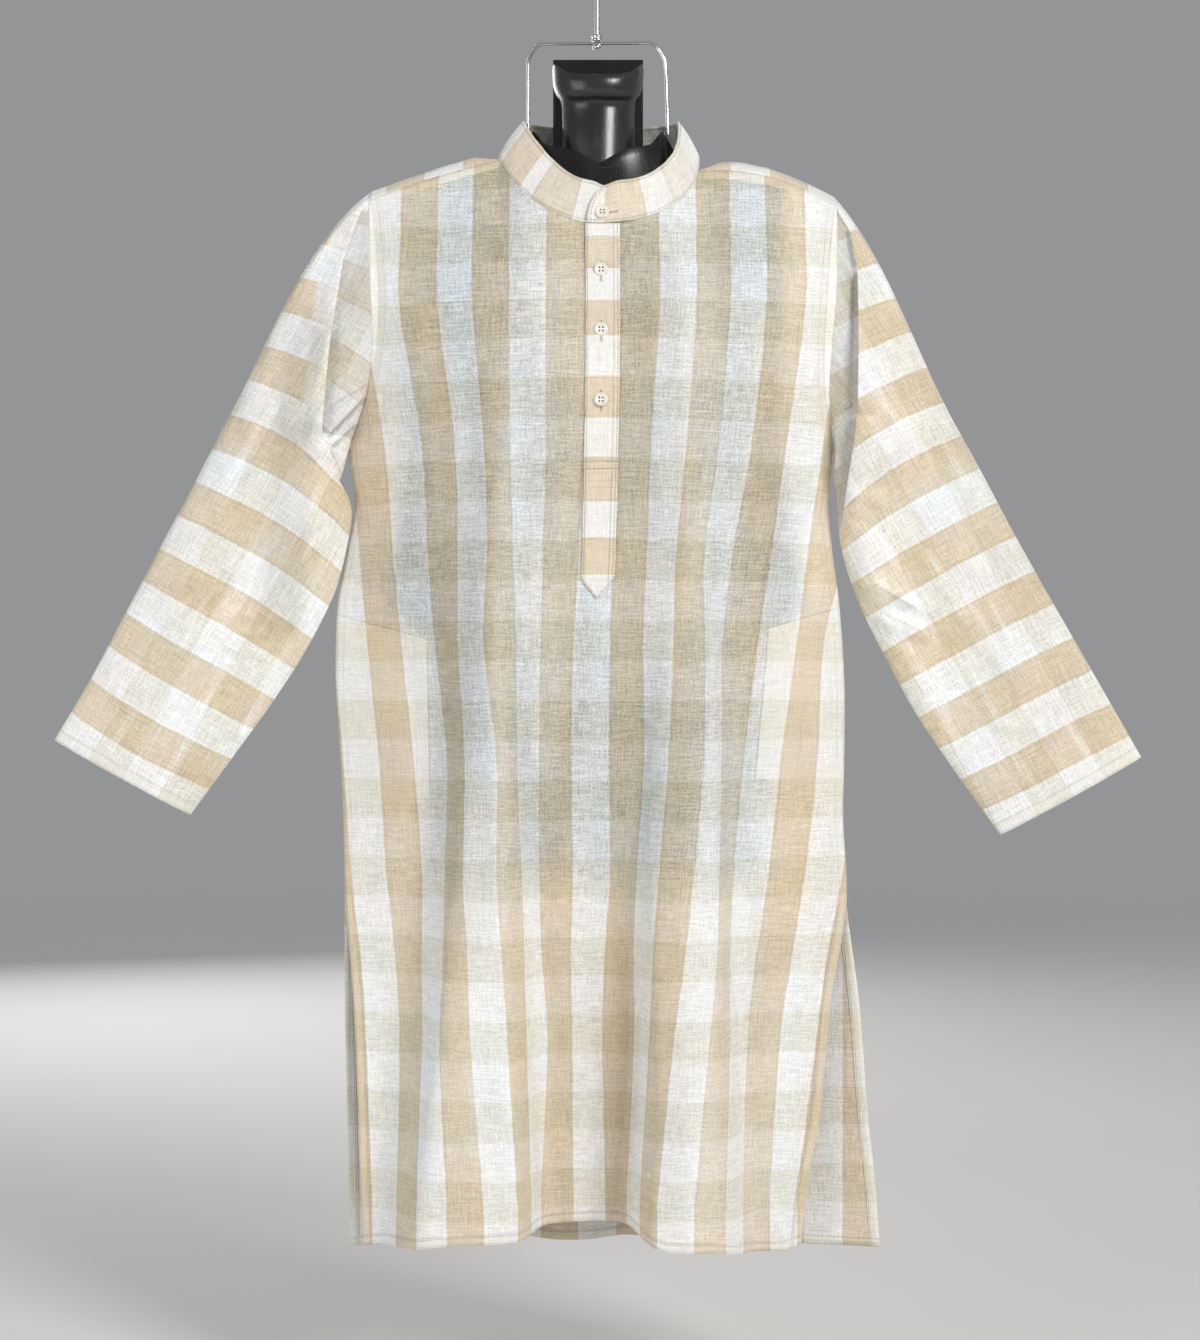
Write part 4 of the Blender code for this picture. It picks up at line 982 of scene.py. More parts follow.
# Soft folds on a sleeve's front: distance and place across (mm) of each end, width, rise
SLEEVE_FOLDS = {
    "right": (
        (60, 60, 250, 52, 14, 3.2), (240, 120, 330, 88, 12, 2.4), (350, 150, 372, 96, 5, 2.6),
        (372, 150, 392, 110, 5, -2.2), (395, 142, 402, 100, 4, 2.0), (300, 40, 480, 44, 14, 2.2),
        (420, 90, 540, 84, 14, 2.0), (486, 20, 500, 60, 3, 1.2), (110, 20, 200, 24, 10, -2.0),
        (330, 158, 346, 128, 4, 1.6), (405, 150, 420, 126, 4, 1.2), (200, 30, 320, 20, 9, 1.4),
    ),
    "left": (
        (30, 8, 250, 40, 9, 3.6), (210, 140, 250, 104, 7, 3.0), (230, 150, 262, 124, 5, -2.8),
        (300, 160, 338, 128, 5, 3.0), (322, 164, 356, 126, 5, -2.6), (338, 160, 372, 132, 4, 2.4),
        (352, 164, 378, 140, 4, -1.8), (280, 60, 470, 70, 14, 2.6), (400, 110, 550, 104, 14, 2.0),
        (140, 30, 300, 36, 12, -2.2), (470, 120, 500, 80, 5, 1.6), (300, 100, 430, 84, 8, 2.0),
        (250, 20, 400, 14, 8, 1.4),
    ),
}

# Sharp folds: the ends' distance and place across, how wide the slope is, how high it stands;
# it falls away sharply towards the body, with a painted shadow of the given width and depth there.
SLEEVE_PLEATS = {
    "right": (
        (-10, 17, 37, 25, 14, 3.0, 6, 0.08), (37, 25, 98, 48, 22, 6.0, 9, 0.14),
        (98, 48, 186, 85, 24, 8.0, 12, 0.22),
        (138, 103, 188, 91, 9, 5.0, 5, 0.3), (158, 109, 194, 98, 8, 4.0, 5, 0.3),
        (165, 81, 128, 101, 7, 3.0, 4, 0.16), (196, 96, 226, 132, 9, 3.0, 4, 0.22),
    ),
    "left": (
        (-14, 14, 8, 13, 14, 4.0, 6, 0.1), (8, 13, 44, 25, 22, 8.0, 10, 0.16),
        (44, 25, 162, 91, 26, 12.0, 16, 0.24), (162, 91, 248, 153, 24, 12.0, 15, 0.3),
        (305, 150, 345, 126, 6, 2.5, 4, 0.16), (330, 156, 366, 132, 6, 2.5, 4, 0.14),
    ),
}
PLEAT_DROP = 3.5             # the width of a sharp fold's steep side
PLEAT_END = 0.06             # the share of its length that a sharp fold runs on, dying away
# The cloth of the sleeve head turns under at the long fold, the first pleats of each sleeve,
# so its stripes start anew beyond it: how many pleats make the fold, by how many stripes.
SLEEVE_TUCK = {"right": (3, 0.8), "left": (4, 0.9)}


def pleat_rise(pleats, away, wide):
    """What the sharp folds add at a spot of a sleeve."""
    total = 0.0
    for *ends, slope, rise, _, _ in pleats:
        part, out = beside(away, wide, *ends)
        if -PLEAT_END < part < 1 + PLEAT_END and -slope < out < PLEAT_DROP:
            fade = smooth((part + PLEAT_END) / 0.16) * smooth((1 + PLEAT_END - part) / 0.16)
            face = smooth(1 + out / slope) if out < 0 else smooth(1 - out / PLEAT_DROP)
            total = max(total, rise * fade * face)
    return total


def resample(points, count):
    """The same polyline with count even steps."""
    lengths = [0.0]
    for a, b in zip(points, points[1:]):
        lengths.append(lengths[-1] + (Vector(b) - Vector(a)).length)
    result = []
    spot = 0
    for step in range(count + 1):
        want = lengths[-1] * step / count
        while spot < len(points) - 2 and lengths[spot + 1] < want:
            spot += 1
        part = (want - lengths[spot]) / (lengths[spot + 1] - lengths[spot])
        result.append(Vector(points[spot]).lerp(Vector(points[spot + 1]), part))
    return result


def armhole(side, half_count):
    """The armhole as a ring: from the ridge down the front to the underarm, and up the back."""
    fine = 60
    tip = SHOULDER_TIPS[0 if side < 0 else 1]
    foot = hem_height(tip[0])
    front_start = (UNDERARM - foot) / (tip[2] - foot)
    forward = [front_point(side, 1 - (1 - front_start) * i / fine) for i in range(fine + 1)]
    back_start = UNDERARM / TURN_HEIGHT * BACK_TURN
    behind = [back_point(side, back_start + (1 - back_start) * i / fine) for i in range(fine + 1)]
    ridge = max(range(fine + 1), key=lambda i: behind[i][2])
    down = resample(behind[ridge:] + forward, half_count)
    up = resample([forward[-1]] + behind[: ridge + 1], half_count)
    return down[:-1] + up[:-1]


def sleeve_ring(sleeve, distance, count):
    """The ring of points at a distance down the sleeve; step 0 is its outer edge."""
    lean = radians(sleeve["lean"])
    side = sleeve["side"]
    outer, inner, forward, behind = (course(distance) for course in sleeve["courses"])
    ring = []
    for step in range(count):
        angle = 2 * pi * step / count
        facing = 1 if sin(angle) > 0 else -1
        bulge = -facing * abs(sin(angle)) ** BULGE_POWER * (forward if facing > 0 else behind)
        over = (outer + inner) / 2 - cos(angle) * (inner - outer) / 2
        x = sleeve["start"][0] + side * (distance * sin(lean) - over * cos(lean))
        height = sleeve["start"][1] - distance * cos(lean) - over * sin(lean)
        ring.append(Vector((x, SLEEVE_DEPTH + bulge, height)))
    return ring


def on_sleeve(sleeve, x, height):
    """Distance down the sleeve and place across it of a spot."""
    lean = radians(sleeve["lean"])
    out = (x - sleeve["start"][0]) * sleeve["side"]
    down = sleeve["start"][1] - height
    return out * sin(lean) + down * cos(lean), down * sin(lean) - out * cos(lean)


def sleeve_surface(name, count, rows):
    """A function for a sleeve's outer face: step round it, and row from cuff to armhole."""
    sleeve = SLEEVES[name]
    sleeve["courses"] = courses(sleeve["rows"])
    side = sleeve["side"]
    head = armhole(side, count // 2)
    first = sleeve["rows"][0][0]
    last = sleeve["rows"][-1][0]
    ring = sleeve_ring(sleeve, first, count)
    lean = radians(sleeve["lean"])
    axis = Vector((side * sin(lean), 0, -cos(lean)))
    outward = Vector((side, 0, -0.35)).normalized()
    over = Vector((side, 0, -sleeve["crown"])).normalized()
    rings = {}

    def plain(step, row):
        rise = row / rows
        if rise <= 1 - SLEEVE_HEAD:
            if row not in rings:
                part = rise / (1 - SLEEVE_HEAD)
                rings[row] = sleeve_ring(sleeve, last + (first - last) * part, count)
            return rings[row][step]
        part = (1 - rise) / SLEEVE_HEAD
        start = head[step] + outward * ARMHOLE_GAP
        end = ring[step]
        reach = (end - start).length
        under = smooth(1 - abs(step / count * 2 - 1))
        leave = (over * (1 - under) + axis * under).normalized()
        a, b = 1 - part, part
        return (
            start * (a * a * (1 + 2 * b))
            + leave * (reach * SLEEVE_PULL * b * a * a)
            + end * (b * b * (3 - 2 * b))
            - axis * (reach * SLEEVE_PULL * b * b * a)
        )

    def point(step, row):
        step %= count
        x, y, height = plain(step, row)
        away, wide = on_sleeve(sleeve, x, height)
        edge = abs(sin(2 * pi * step / count)) ** 0.5 * min(1.0, (rows - row) / 8, row / 5 + 0.2)
        facing = -1 if step <= count / 2 else 1
        lift = rumple(x, y, height * 0.6, 22.0, 1.2, 40.0) + rumple(x, y, height, 9.0, 0.4, 44.0)
        if facing < 0:
            for *ends, width, rise in SLEEVE_FOLDS[name]:
                _, far = off_line(away, wide, *ends)
                if far < 3 * width:
                    lift += rise * exp(-((far / width) ** 2))
            lift += pleat_rise(SLEEVE_PLEATS[name], away, wide)
        return x, y + facing * lift * edge, height

    return point


def sleeve_marker(name, count):
    """The sleeve's place in the check: stripes along its length, bands round it."""
    sleeve = SLEEVES[name]
    first_edge, pitch, band_edge, droops = SLEEVE_CHECK[name]
    outer_droop, inner_droop = courses(droops)

    def mark(column, row, x, y, height):
        away, wide = on_sleeve(sleeve, x, height)
        outer, inner = sleeve["courses"][0](away), sleeve["courses"][1](away)
        turn = (2 * wide - outer - inner) / (inner - outer)
        droop = outer_droop(away) * turn ** 2 if turn < 0 else inner_droop(away) * turn ** 2
        stripes = (away - droop - first_edge) / pitch + 0.5
        bands = (wide - band_edge) / BAND
        if column > count / 2:
            bands = (-wide - band_edge) / BAND + 2 * round(outer / BAND)
        last = sleeve["rows"][-1][0]
        values = {
            "from_side": (SLEEVE_ROWS - row) * HEAD_ROW * MM,
            "from_hem": (last - away) * MM,
            "down_sleeve": away * MM,
            "over_sleeve": wide * MM if column <= count / 2 else -1.0,
        }
        return (stripes + 20, bands + 20), values

    return mark


CUFF_FOLD = 11.0             # the depth of the cuff's turned hem
CUFF_ROW = 9.8
CUFF_STITCHES = 13.0         # stitches to a band
# Where a sleeve's broad folds catch the light or lie in shade: the ends as distance and place
# across, the width, and how much brighter.
SLEEVE_SHADE = {
    "right": ((84, 14, 220, 74, 18, -0.15), (170, 52, 385, 144, 19, -0.17)),
    "left": (
        (215, 104, 330, 140, 17, 0.08), (290, 130, 490, 168, 17, 0.08), (180, 54, 580, 68, 34, -0.06),
    ),
}


def beyond_fold(finish, name, near=-0.2, soft=0.4, far=None):
    """Where a spot lies between two distances on the body's side of the long fold."""
    away, wide = finish.distance("down_sleeve"), finish.distance("over_sleeve")
    beyond = []
    for *ends, _, _, _, _ in SLEEVE_PLEATS[name][:SLEEVE_TUCK[name][0]]:
        part, off = beside(away, wide, *ends)
        one = off.step(near, near + soft) * abs(part - 0.5).step(0.52, 0.51)
        beyond.append(one if far is None else one * off.step(far, far - 0.4))
    return most_of(beyond)


def sleeve_shift(finish, name):
    """By how many stripes the check starts anew beyond the long fold."""
    return beyond_fold(finish, name) * SLEEVE_TUCK[name][1]


def sleeve_extras(finish, name):
    """The turned cuff hem with its stitching and the armhole seam, with painted shade and highlights
    along the folds, the seam, the cuff's edge and the recess beyond the long fold.
    """
    away, wide = finish.distance("down_sleeve"), finish.distance("over_sleeve")
    hem, head = finish.distance("from_hem"), finish.distance("from_side")
    # Painted shadow on the body's side of each sharp fold.
    shadows = []
    for *ends, _, _, fall, depth in SLEEVE_PLEATS[name]:
        part, off = beside(away, wide, *ends)
        one = off.step(-0.5, 0.4) * off.step(fall, 0.4) * abs(part - 0.5).step(0.54, 0.44)
        shadows.append(one * depth)
    _, band, _ = finish.parts(finish.node("ShaderNodeUVMap", {"uv_map": "check"}))
    turned = hem.within(CUFF_FOLD, 0.4)
    stitch = hem.near(CUFF_ROW, *ROW) * band.dashes(CUFF_STITCHES)
    line = hem.near(CUFF_FOLD + EDGE_LINE_OFF, *EDGE_LINE)
    # Painted shade over the cloth beyond the long fold, deepest near the armhole, where the stripes also
    # fade.
    under = beyond_fold(finish, name)
    deep = under * (0.2 - away.step(60.0, 190.0) * 0.05)
    # Painted highlights: pale streaks along the sleeve, lighter and with less tan.
    ridge = finish.flecks(away * 0.009, wide * 0.05).step(0.56, 0.7) * (1.0 - under)
    # Painted shade: a dark line along the armhole seam.
    dark = most_of((stitch * 0.2, line * 0.16, most_of(shadows) + deep, head.step(2.4, 1.0) * 0.2))
    # A painted highlight along the cuff's folded edge.
    dark = dark - hem.step(1.4, 0.4) * 0.08 - ridge * 0.06
    for *ends, half, brighter in SLEEVE_SHADE[name]:
        dark = dark - finish.crease(away, wide, ends, half * 0.5, half) * (1.0 - under) * brighter
    plain = (under * 0.5).most(ridge * 0.3)
    # Painted highlight: a cream strip, its tan left out, along the outer side of the long fold.
    if name == "right":
        plain = plain.most(beyond_fold(finish, name, -24.0, 7.0, 0.2) * 0.8)
    return turned.most(head.step(7.0, 4.0) * 0.5), dark, turned * 0.5, plain


for name, area in (("right", 0.163), ("left", 0.165)):
    surface = sleeve_surface(name, SLEEVE_COLUMNS, SLEEVE_ROWS)
    sleeve_piece = lay_cloth(
        f"{name}_sleeve", surface, SLEEVE_COLUMNS, SLEEVE_ROWS, CLOTH,
        sleeve_marker(name, SLEEVE_COLUMNS),
        check_cloth(
            f"check_{name}_sleeve", lambda finish: sleeve_extras(finish, name),
            lambda finish: sleeve_shift(finish, name),
        ),
        flip=name == "left", closed=True,
    )
    cut_and_sewn(sleeve_piece, f"sleeve_{name}")

# ----------------------------------------
# COLLAR.  A stand of two layers with a stiffener, cut along the cloth so that its stripes
# run up and down.  The wearer's left end laps over the other and is rounded; both long
# edges are stitched 2 mm in, and it has one cross buttonhole.

COLLAR_RING = (3.5, 73.0, -9.0, 56.0, 1051.0)
COLLAR_DROP = 70.0
COLLAR_CLOTH = 1.6
COLLAR_UNDER_END = 7.0       # degrees past the middle front, the end beneath
COLLAR_OVER_TOP = 3.5        # degrees short of the middle front, the top of the end on top
COLLAR_OVER_FOOT = -7.0      # and its foot
COLLAR_LAP = 3.2             # how far the end on top stands out
COLLAR_STAND = -0.6          # the collar's foot is let into the neck seam
COLLAR_BELLY = 1.5           # how far its middle swells out
# Its waves: degrees long, how much they change up the stand, their place, their height.
COLLAR_WAVES = ((9.0, 1.2, 5.0, 1.1), (26.0, 0.5, 8.0, 1.4))
COLLAR_TALL = 35.0
COLLAR_LONG = 470.0
COLLAR_COLUMNS = 230
COLLAR_ROWS = 16
# Where the collar's stripes change, from the end beneath round the back to the end on top:
# the angle from the middle front, the stripe's number there.
COLLAR_STRIPES = (
    (28, 1.5), (3, 0.5), (-15, -0.5), (-42, -1.5), (-51, -2.5), (-76, -3.5), (-101, -4.5), (-180, -8.36),
    (-260, -11.5), (-285, -12.5), (-313, -13.5), (-332, -14.5), (-357, -15.5), (-380, -16.5),
)
COLLAR_EDGE_ROWS = (2.2, 32.6)
COLLAR_END_ROW = 2.4
COLLAR_STITCHES = 0.55       # stitches to a degree
COLLAR_HOLE = (7.6, 8.6)     # the buttonhole's angle and height
COLLAR_LEAN_IN = 6.0         # how far its right half leans in at the top
COLLAR_NOTCH = 4.0           # how far the top rises beside the notch in front


def collar_finish(rise):
    """The angle at which the collar's end on top stops; its corner is rounded."""
    return COLLAR_OVER_FOOT + (COLLAR_OVER_TOP - COLLAR_OVER_FOOT) * rise ** 3.0 - 360


def collar_angle(turn, rise):
    """The angle from the middle front, and the same counted from the nearer side of it."""
    angle = COLLAR_UNDER_END + (collar_finish(rise) - COLLAR_UNDER_END) * turn
    return angle, angle + 360 if angle < -180 else angle


def collar_point(turn, rise):
    """A point of the collar's outer face: turn from the end beneath to the end on top."""
    angle, near = collar_angle(turn, rise)
    low = Vector(ring_point(NECK_RING, NECK_DROP, angle))
    high = Vector(ring_point(COLLAR_RING, COLLAR_DROP, angle))
    high.x += COLLAR_LEAN_IN * sin(pi * min(1.0, max(0.0, -near / 90)))
    high.z += COLLAR_NOTCH * (1 - exp(-(((near - 3) / 6) ** 2))) * exp(-((near / 26) ** 2))
    up = (high - low).normalized()
    low += up * COLLAR_STAND
    outward = Vector((sin(radians(angle)), -cos(radians(angle)), 0))
    lap = COLLAR_LAP * smooth((turn - 0.9) / 0.07)
    swell = COLLAR_BELLY * sin(pi * rise)
    for size, along, seed, amount in COLLAR_WAVES:
        swell += noise.noise(Vector((angle / size, rise * along, seed))) * amount * rise
    return tuple(low.lerp(high, rise) + outward * (lap + swell))


collar_stripe = Course(COLLAR_STRIPES, 1)


def collar_mark(column, row, x, y, height):
    """The collar's place in the check: its stripes are set out by the angle round the neck."""
    turn, rise = column / COLLAR_COLUMNS, row / COLLAR_ROWS
    angle, near = collar_angle(turn, rise)
    values = {
        "doubled": 1.0,
        "from_hem": rise * COLLAR_TALL * MM,
        "from_side": min(turn, 1 - turn) * COLLAR_LONG * MM,
        "turned_angle": near,
    }
    return (collar_stripe(angle) + 30, rise * 0.95 + 0.1), values


def collar_extras(finish):
    """Edge stitching, the rounded end's stitching and the buttonhole."""
    up, end = finish.distance("from_hem"), finish.distance("from_side")
    angle = finish.attribute("turned_angle")
    rows = most_of(up.near(row, *ROW) for row in COLLAR_EDGE_ROWS)
    stitch = rows * angle.dashes(COLLAR_STITCHES, 0.38)
    stitch = stitch.most(end.near(COLLAR_END_ROW, *ROW) * up.dashes(STITCHES))
    hole = angle.near(COLLAR_HOLE[0], 2.6, 0.5) * up.near(COLLAR_HOLE[1], 0.3, 0.4)
    worn = finish.flecks(angle * 0.11, up * 0.05, detail=2.0).step(0.45, 0.7)
    dark = (stitch * 0.2).most(hole * 0.4) + worn * 0.07 - 0.01
    plain = (angle.step(26.0, 46.0) * angle.step(170.0, 150.0) * 0.75).most(0.18)
    return None, dark, stitch * -0.6 - hole, plain


collar = lay_cloth(
    "collar_band", lambda i, j: collar_point(i / COLLAR_COLUMNS, j / COLLAR_ROWS), COLLAR_COLUMNS,
    COLLAR_ROWS, COLLAR_CLOTH, collar_mark, check_cloth("check_collar", collar_extras), flip=True,
)
cut_and_sewn(collar, "collar")

# ----------------------------------------
# PLACKET.  A closed strip down the middle front, two layers of the check cut across, so
# that its stripes lie level.  It is stitched down both edges, twice on the wearer's left,
# once across at the top and twice above its pointed foot, with three upright buttonholes.

SEAM = 0.3                   # clear distance between sewn pieces
PLACKET_CLOTH = 1.3
PLACKET = ((950, -10.5, 20.5), (800, -10.5, 20.5), (640, -13.5, 16.5), (622, -14.5, 15.5))
PLACKET_TIP = 604.0
PLACKET_COLUMNS = 22
PLACKET_ROWS = 150
# The stripes down the placket: height, stripe number.
PLACKET_STRIPES = (
    (600, -0.5), (618.5, 0.0), (625.5, 0.5), (659, 1.5), (691, 2.5), (731, 3.5), (766, 4.5), (803, 5.5),
    (840, 6.5), (873, 7.5), (903, 8.5), (932, 9.5), (960, 10.4),
)

placket_left = Course(PLACKET, 1)
placket_right = Course(PLACKET, 2)
placket_stripe = Course(PLACKET_STRIPES, 1)


HALVINGS = 24                # how often the search for a height is narrowed down


def front_at(x, height):
    """The point of the front's outer face at an x and a height, near its middle."""
    low_rise, high_rise = 0.0, 1.0
    for _ in range(HALVINGS):
        rise = (low_rise + high_rise) / 2
        place = across(front_courses, x, height)
        spot = front_skin(place, rise)
        if rise > EASE_FROM:
            for _ in range(4):
                place += (x - spot[0]) / HALF_CHEST
                spot = front_skin(place, rise)
        if spot[2] < height:
            low_rise = rise
        else:
            high_rise = rise
    return Vector(spot)


def placket_foot(share):
    """The height of the pointed foot at a share of the placket's width."""
    return PLACKET_TIP + (PLACKET[-1][0] - PLACKET_TIP) * abs(2 * share - 1)


def placket_point(column, row):
    """A point of the placket's outer face, made from the front's, moved out."""
    share = column / PLACKET_COLUMNS
    foot = placket_foot(share)
    top = ring_point(NECK_RING, NECK_DROP, 0)[2] - 0.9
    height = foot + (top - foot) * (row / PLACKET_ROWS)
    x = placket_left(height) * (1 - share) + placket_right(height) * share
    x += rumple(x, 0, height, 30.0, 0.6, 50.0)
    spot = front_at(x, height)
    out = SEAM + PLACKET_CLOTH + 0.25 + rumple(x, 0, height * 0.7, 12.0, 0.5, 52.0)
    return x, spot.y - out, height


def placket_mark(column, row, x, y, height):
    """The placket's place in the check, and its distances from its edges."""
    left, right = placket_left(height), placket_right(height)
    values = {
        "doubled": 1.0,
        "from_side": min(x - left, right - x) * MM,
        "from_right": (right - x) * MM,
        "from_hem": (height - placket_foot(column / PLACKET_COLUMNS)) * MM,
    }
    return (placket_stripe(height) + 10, (x + 10) / BAND), values


HOLE_HEIGHTS = (900.0, 844.0, 781.0)     # the middles of the buttonholes
HOLE_X = 3.8
CROSS_ROWS = (727.0, 720.5, 933.0)       # the heights of the stitch rows across
FINE_ROW = (0.22, 0.3)
PLACKET_ROW = 1.8            # the stitch rows' distances from the edges
SECOND_ROW = 5.4
FOOT_ROW = 2.0


def placket_extras(finish):
    """Edge stitching, the two rows across at the foot, and the buttonholes."""
    x, height = finish.x_and_height()
    side, right = finish.distance("from_side"), finish.distance("from_right")
    foot = finish.distance("from_hem")
    dash_across = x.dashes(STITCHES, 0.38)
    stitch = side.near(PLACKET_ROW, *FINE_ROW).most(right.near(SECOND_ROW, *FINE_ROW))
    stitch = stitch * height.dashes(STITCHES, 0.38)
    rows = most_of(height.near(row, *ROW) for row in CROSS_ROWS) * dash_across
    stitch = stitch.most(rows).most(foot.near(FOOT_ROW, *FINE_ROW) * dash_across)
    holes = []
    for hole_height in HOLE_HEIGHTS:
        slit = x.near(HOLE_X, 0.35, 0.3) * height.near(hole_height, 9.0, 0.6)
        bar = x.near(HOLE_X, 1.3, 0.3) * height.near(hole_height, 10.0, 0.6)
        holes.append((slit * 0.55).most((bar - slit) * 0.1))
    hole = most_of(holes)
    # A faint painted highlight along both edges.
    dark = (stitch * 0.26).most(rows * 0.34).most(hole) - side.step(1.2, 0.6) * 0.05
    return None, dark, stitch * -0.6 - hole * 1.5, None


placket = lay_cloth(
    "placket_strip", placket_point, PLACKET_COLUMNS, PLACKET_ROWS, PLACKET_CLOTH, placket_mark,
    check_cloth("check_placket", placket_extras),
)
cut_and_sewn(placket, "placket")

# ----------------------------------------
# POCKET BAGS.  Two flat bags of the same cloth inside the front, each sewn into its side
# seam and open there.  From outside they show only as paler places in the front.

POCKET_CLOTH = 1.4
POCKET_SEAM = 6.0            # the bag's clearance from the side seam
POCKET_COLUMNS = 24
POCKET_ROWS = 48

for name, (top_x, foot_x, side_top, inner_top, side_foot, inner_foot) in POCKETS.items():
    edge_column, inward = (0, POCKET_SEAM) if name == "right" else (1, -POCKET_SEAM)

    def pocket_point(column, row):
        share, rise = column / POCKET_COLUMNS, row / POCKET_ROWS
        height = ((side_foot + (side_top - side_foot) * rise) * (1 - share)
                  + (inner_foot + (inner_top - inner_foot) * rise) * share)
        edge = front_courses[edge_column](height) + inward
        x = edge + (foot_x + (top_x - foot_x) * rise - edge) * share
        return x, front_depth(x, height) + CLOTH * 1.9 + SEAM, height

    def pocket_mark(column, row, x, y, height):
        return (x / STRIPE + 40.3, height / BAND + 0.4), {"doubled": 0.6}

    bag = lay_cloth(
        f"{name}_pocket_bag", pocket_point, POCKET_COLUMNS, POCKET_ROWS, POCKET_CLOTH, pocket_mark,
        bpy.data.materials.get("check_pocket") or check_cloth("check_pocket"), flip=name == "left",
    )
    cut_and_sewn(bag, f"pocket_{name}")

# ----------------------------------------
# BUTTONS.  Four small shell buttons with a raised rim and four holes, sewn on with thread
# that shows down in the holes: three down the placket and one on the collar.

HOLE_R = 0.85
HOLE_RING = 2.2              # from the button's middle to a hole's
DRILL_LONG = 8.0
THREAD_R = 0.78
THREAD_LONG = 1.1
BUTTON_BACK = 1.2            # from the node's middle to the button's back
LEAN_UP = {"button_collar": 0.32}        # how far a button's face leans up; the others' too
LEAN_PLACKET = 0.08
# A button's profile from the middle of its back to the middle of its dish: radius, height.
BUTTON_PROFILE = (
    (0.0, 0.0), (5.4, 0.0), (6.1, 0.35), (6.3, 0.9), (6.2, 1.6), (5.8, 2.2), (5.3, 2.45), (4.8, 2.4),
    (4.5, 2.1), (4.2, 1.75), (3.6, 1.6), (0.0, 1.55),
)


def shell_finish():
    """Polished shell: cloudy, faintly streaked, glossy."""
    finish = Finish("button_shell")
    spot = finish.spot()
    cloud = finish.noise(spot, 260.0, 3.0)
    streak = finish.drawn_out(spot, (900.0, 200.0, 200.0))
    colour = finish.tint(cloud.step(0.3, 0.75), srgb(246, 243, 235), srgb(228, 221, 206))
    colour = finish.tint(streak.step(0.55, 0.75) * 0.5, colour, srgb(252, 251, 247))
    finish.set(Base_Color=colour, Roughness=0.22 + cloud * 0.16, Coat_Weight=0.3, Coat_Roughness=0.1)
    finish.set(Normal=finish.bump(streak, 0.0002, 0.3))
    return finish.material


def thread_finish():
    """Unbleached sewing thread, twisted, its colour painted dark for the shade down in the holes."""
    finish = Finish("sewing_thread")
    bands = {"wave_type": "BANDS", "bands_direction": "DIAGONAL"}
    twist = finish.node("ShaderNodeTexWave", bands, finish.spot(), Scale=900.0)
    colour = finish.tint(twist, srgb(72, 60, 46), srgb(104, 90, 72))
    finish.set(Base_Color=colour, Roughness=0.8, Normal=finish.bump(twist, 0.0001, 0.6))
    return finish.material


def new_piece(name, bm, material, smooth_faces=True):
    """A piece from a finished bmesh, which is used up."""
    mesh = bpy.data.meshes.new(name)
    bm.to_mesh(mesh)
    bm.free()
    if smooth_faces:
        mesh.shade_smooth()
    mesh.materials.append(material)
    return in_scene(name, mesh)


def spun(profile, steps):
    """A bmesh turned on an upright axis from radius and height."""
    bm = bmesh.new()
    verts = [bm.verts.new((radius * MM, 0, height * MM)) for radius, height in profile]
    for a, b in zip(verts, verts[1:]):
        bm.edges.new((a, b))
    bmesh.ops.spin(
        bm, geom=bm.verts[:] + bm.edges[:], cent=(0, 0, 0), axis=(0, 0, 1), angle=2 * pi, steps=steps,
        use_merge=True,
    )
    bmesh.ops.remove_doubles(bm, verts=bm.verts, dist=0.000005)
    bmesh.ops.recalc_face_normals(bm, faces=bm.faces)
    return bm


def settled(piece):
    """The mesh of a piece with its modifiers applied."""
    return bpy.data.meshes.new_from_object(piece.evaluated_get(bpy.context.evaluated_depsgraph_get()))


def four_rods(radius, long, segments, lift):
    """Four small upright rods, one for each of a button's holes."""
    rods = bmesh.new()
    for quarter in range(4):
        made = bmesh.ops.create_cone(
            rods, cap_ends=True, segments=segments, radius1=radius * MM, radius2=radius * MM,
            depth=long * MM,
        )
        spot = radians(45 + 90 * quarter)
        place = Vector((HOLE_RING * cos(spot), HOLE_RING * sin(spot), lift)) * MM
        bmesh.ops.translate(rods, verts=made["verts"], vec=place)
    return rods


button_shell = shell_finish()
sewing_thread = thread_finish()
for node in ("button_1", "button_2", "button_3", "button_collar"):
    low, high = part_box(node)
    middle = (Vector(low) + Vector(high)) / 2
    facing = Vector((0, -1, LEAN_UP.get(node, LEAN_PLACKET))).normalized()
    turn = facing.to_track_quat("Z", "Y").to_matrix().to_4x4()
    turn.translation = middle - facing * BUTTON_BACK * MM

    shape = spun(BUTTON_PROFILE, 40)
    shape.transform(turn)
    button = new_piece(f"{node}_shell", shape, button_shell)
    drills = four_rods(HOLE_R, DRILL_LONG, 14, 0.0)
    drills.transform(turn)
    drill = new_piece(f"{node}_drill", drills, button_shell)
    cut = button.modifiers.new("holes", "BOOLEAN")
    cut.operation = "DIFFERENCE"
    cut.object = drill
    uncut, button.data = button.data, settled(button)
    button.modifiers.clear()
    bpy.data.meshes.remove(uncut)
    bpy.data.objects.remove(drill, do_unlink=True)
    fixed(button, node)

    stitches = four_rods(THREAD_R, THREAD_LONG, 12, THREAD_LONG / 2)
    stitches.transform(turn)
    fixed(new_piece(f"{node}_thread", stitches, sewing_thread), None)

# ----------------------------------------
# HANGING FORM.  A limbless half torso of glossy black plastic, moulded in one thin wall,
# with a scooped neck edge.  A flared neck block with two horns stands in it, and a flat
# plate closes it behind.

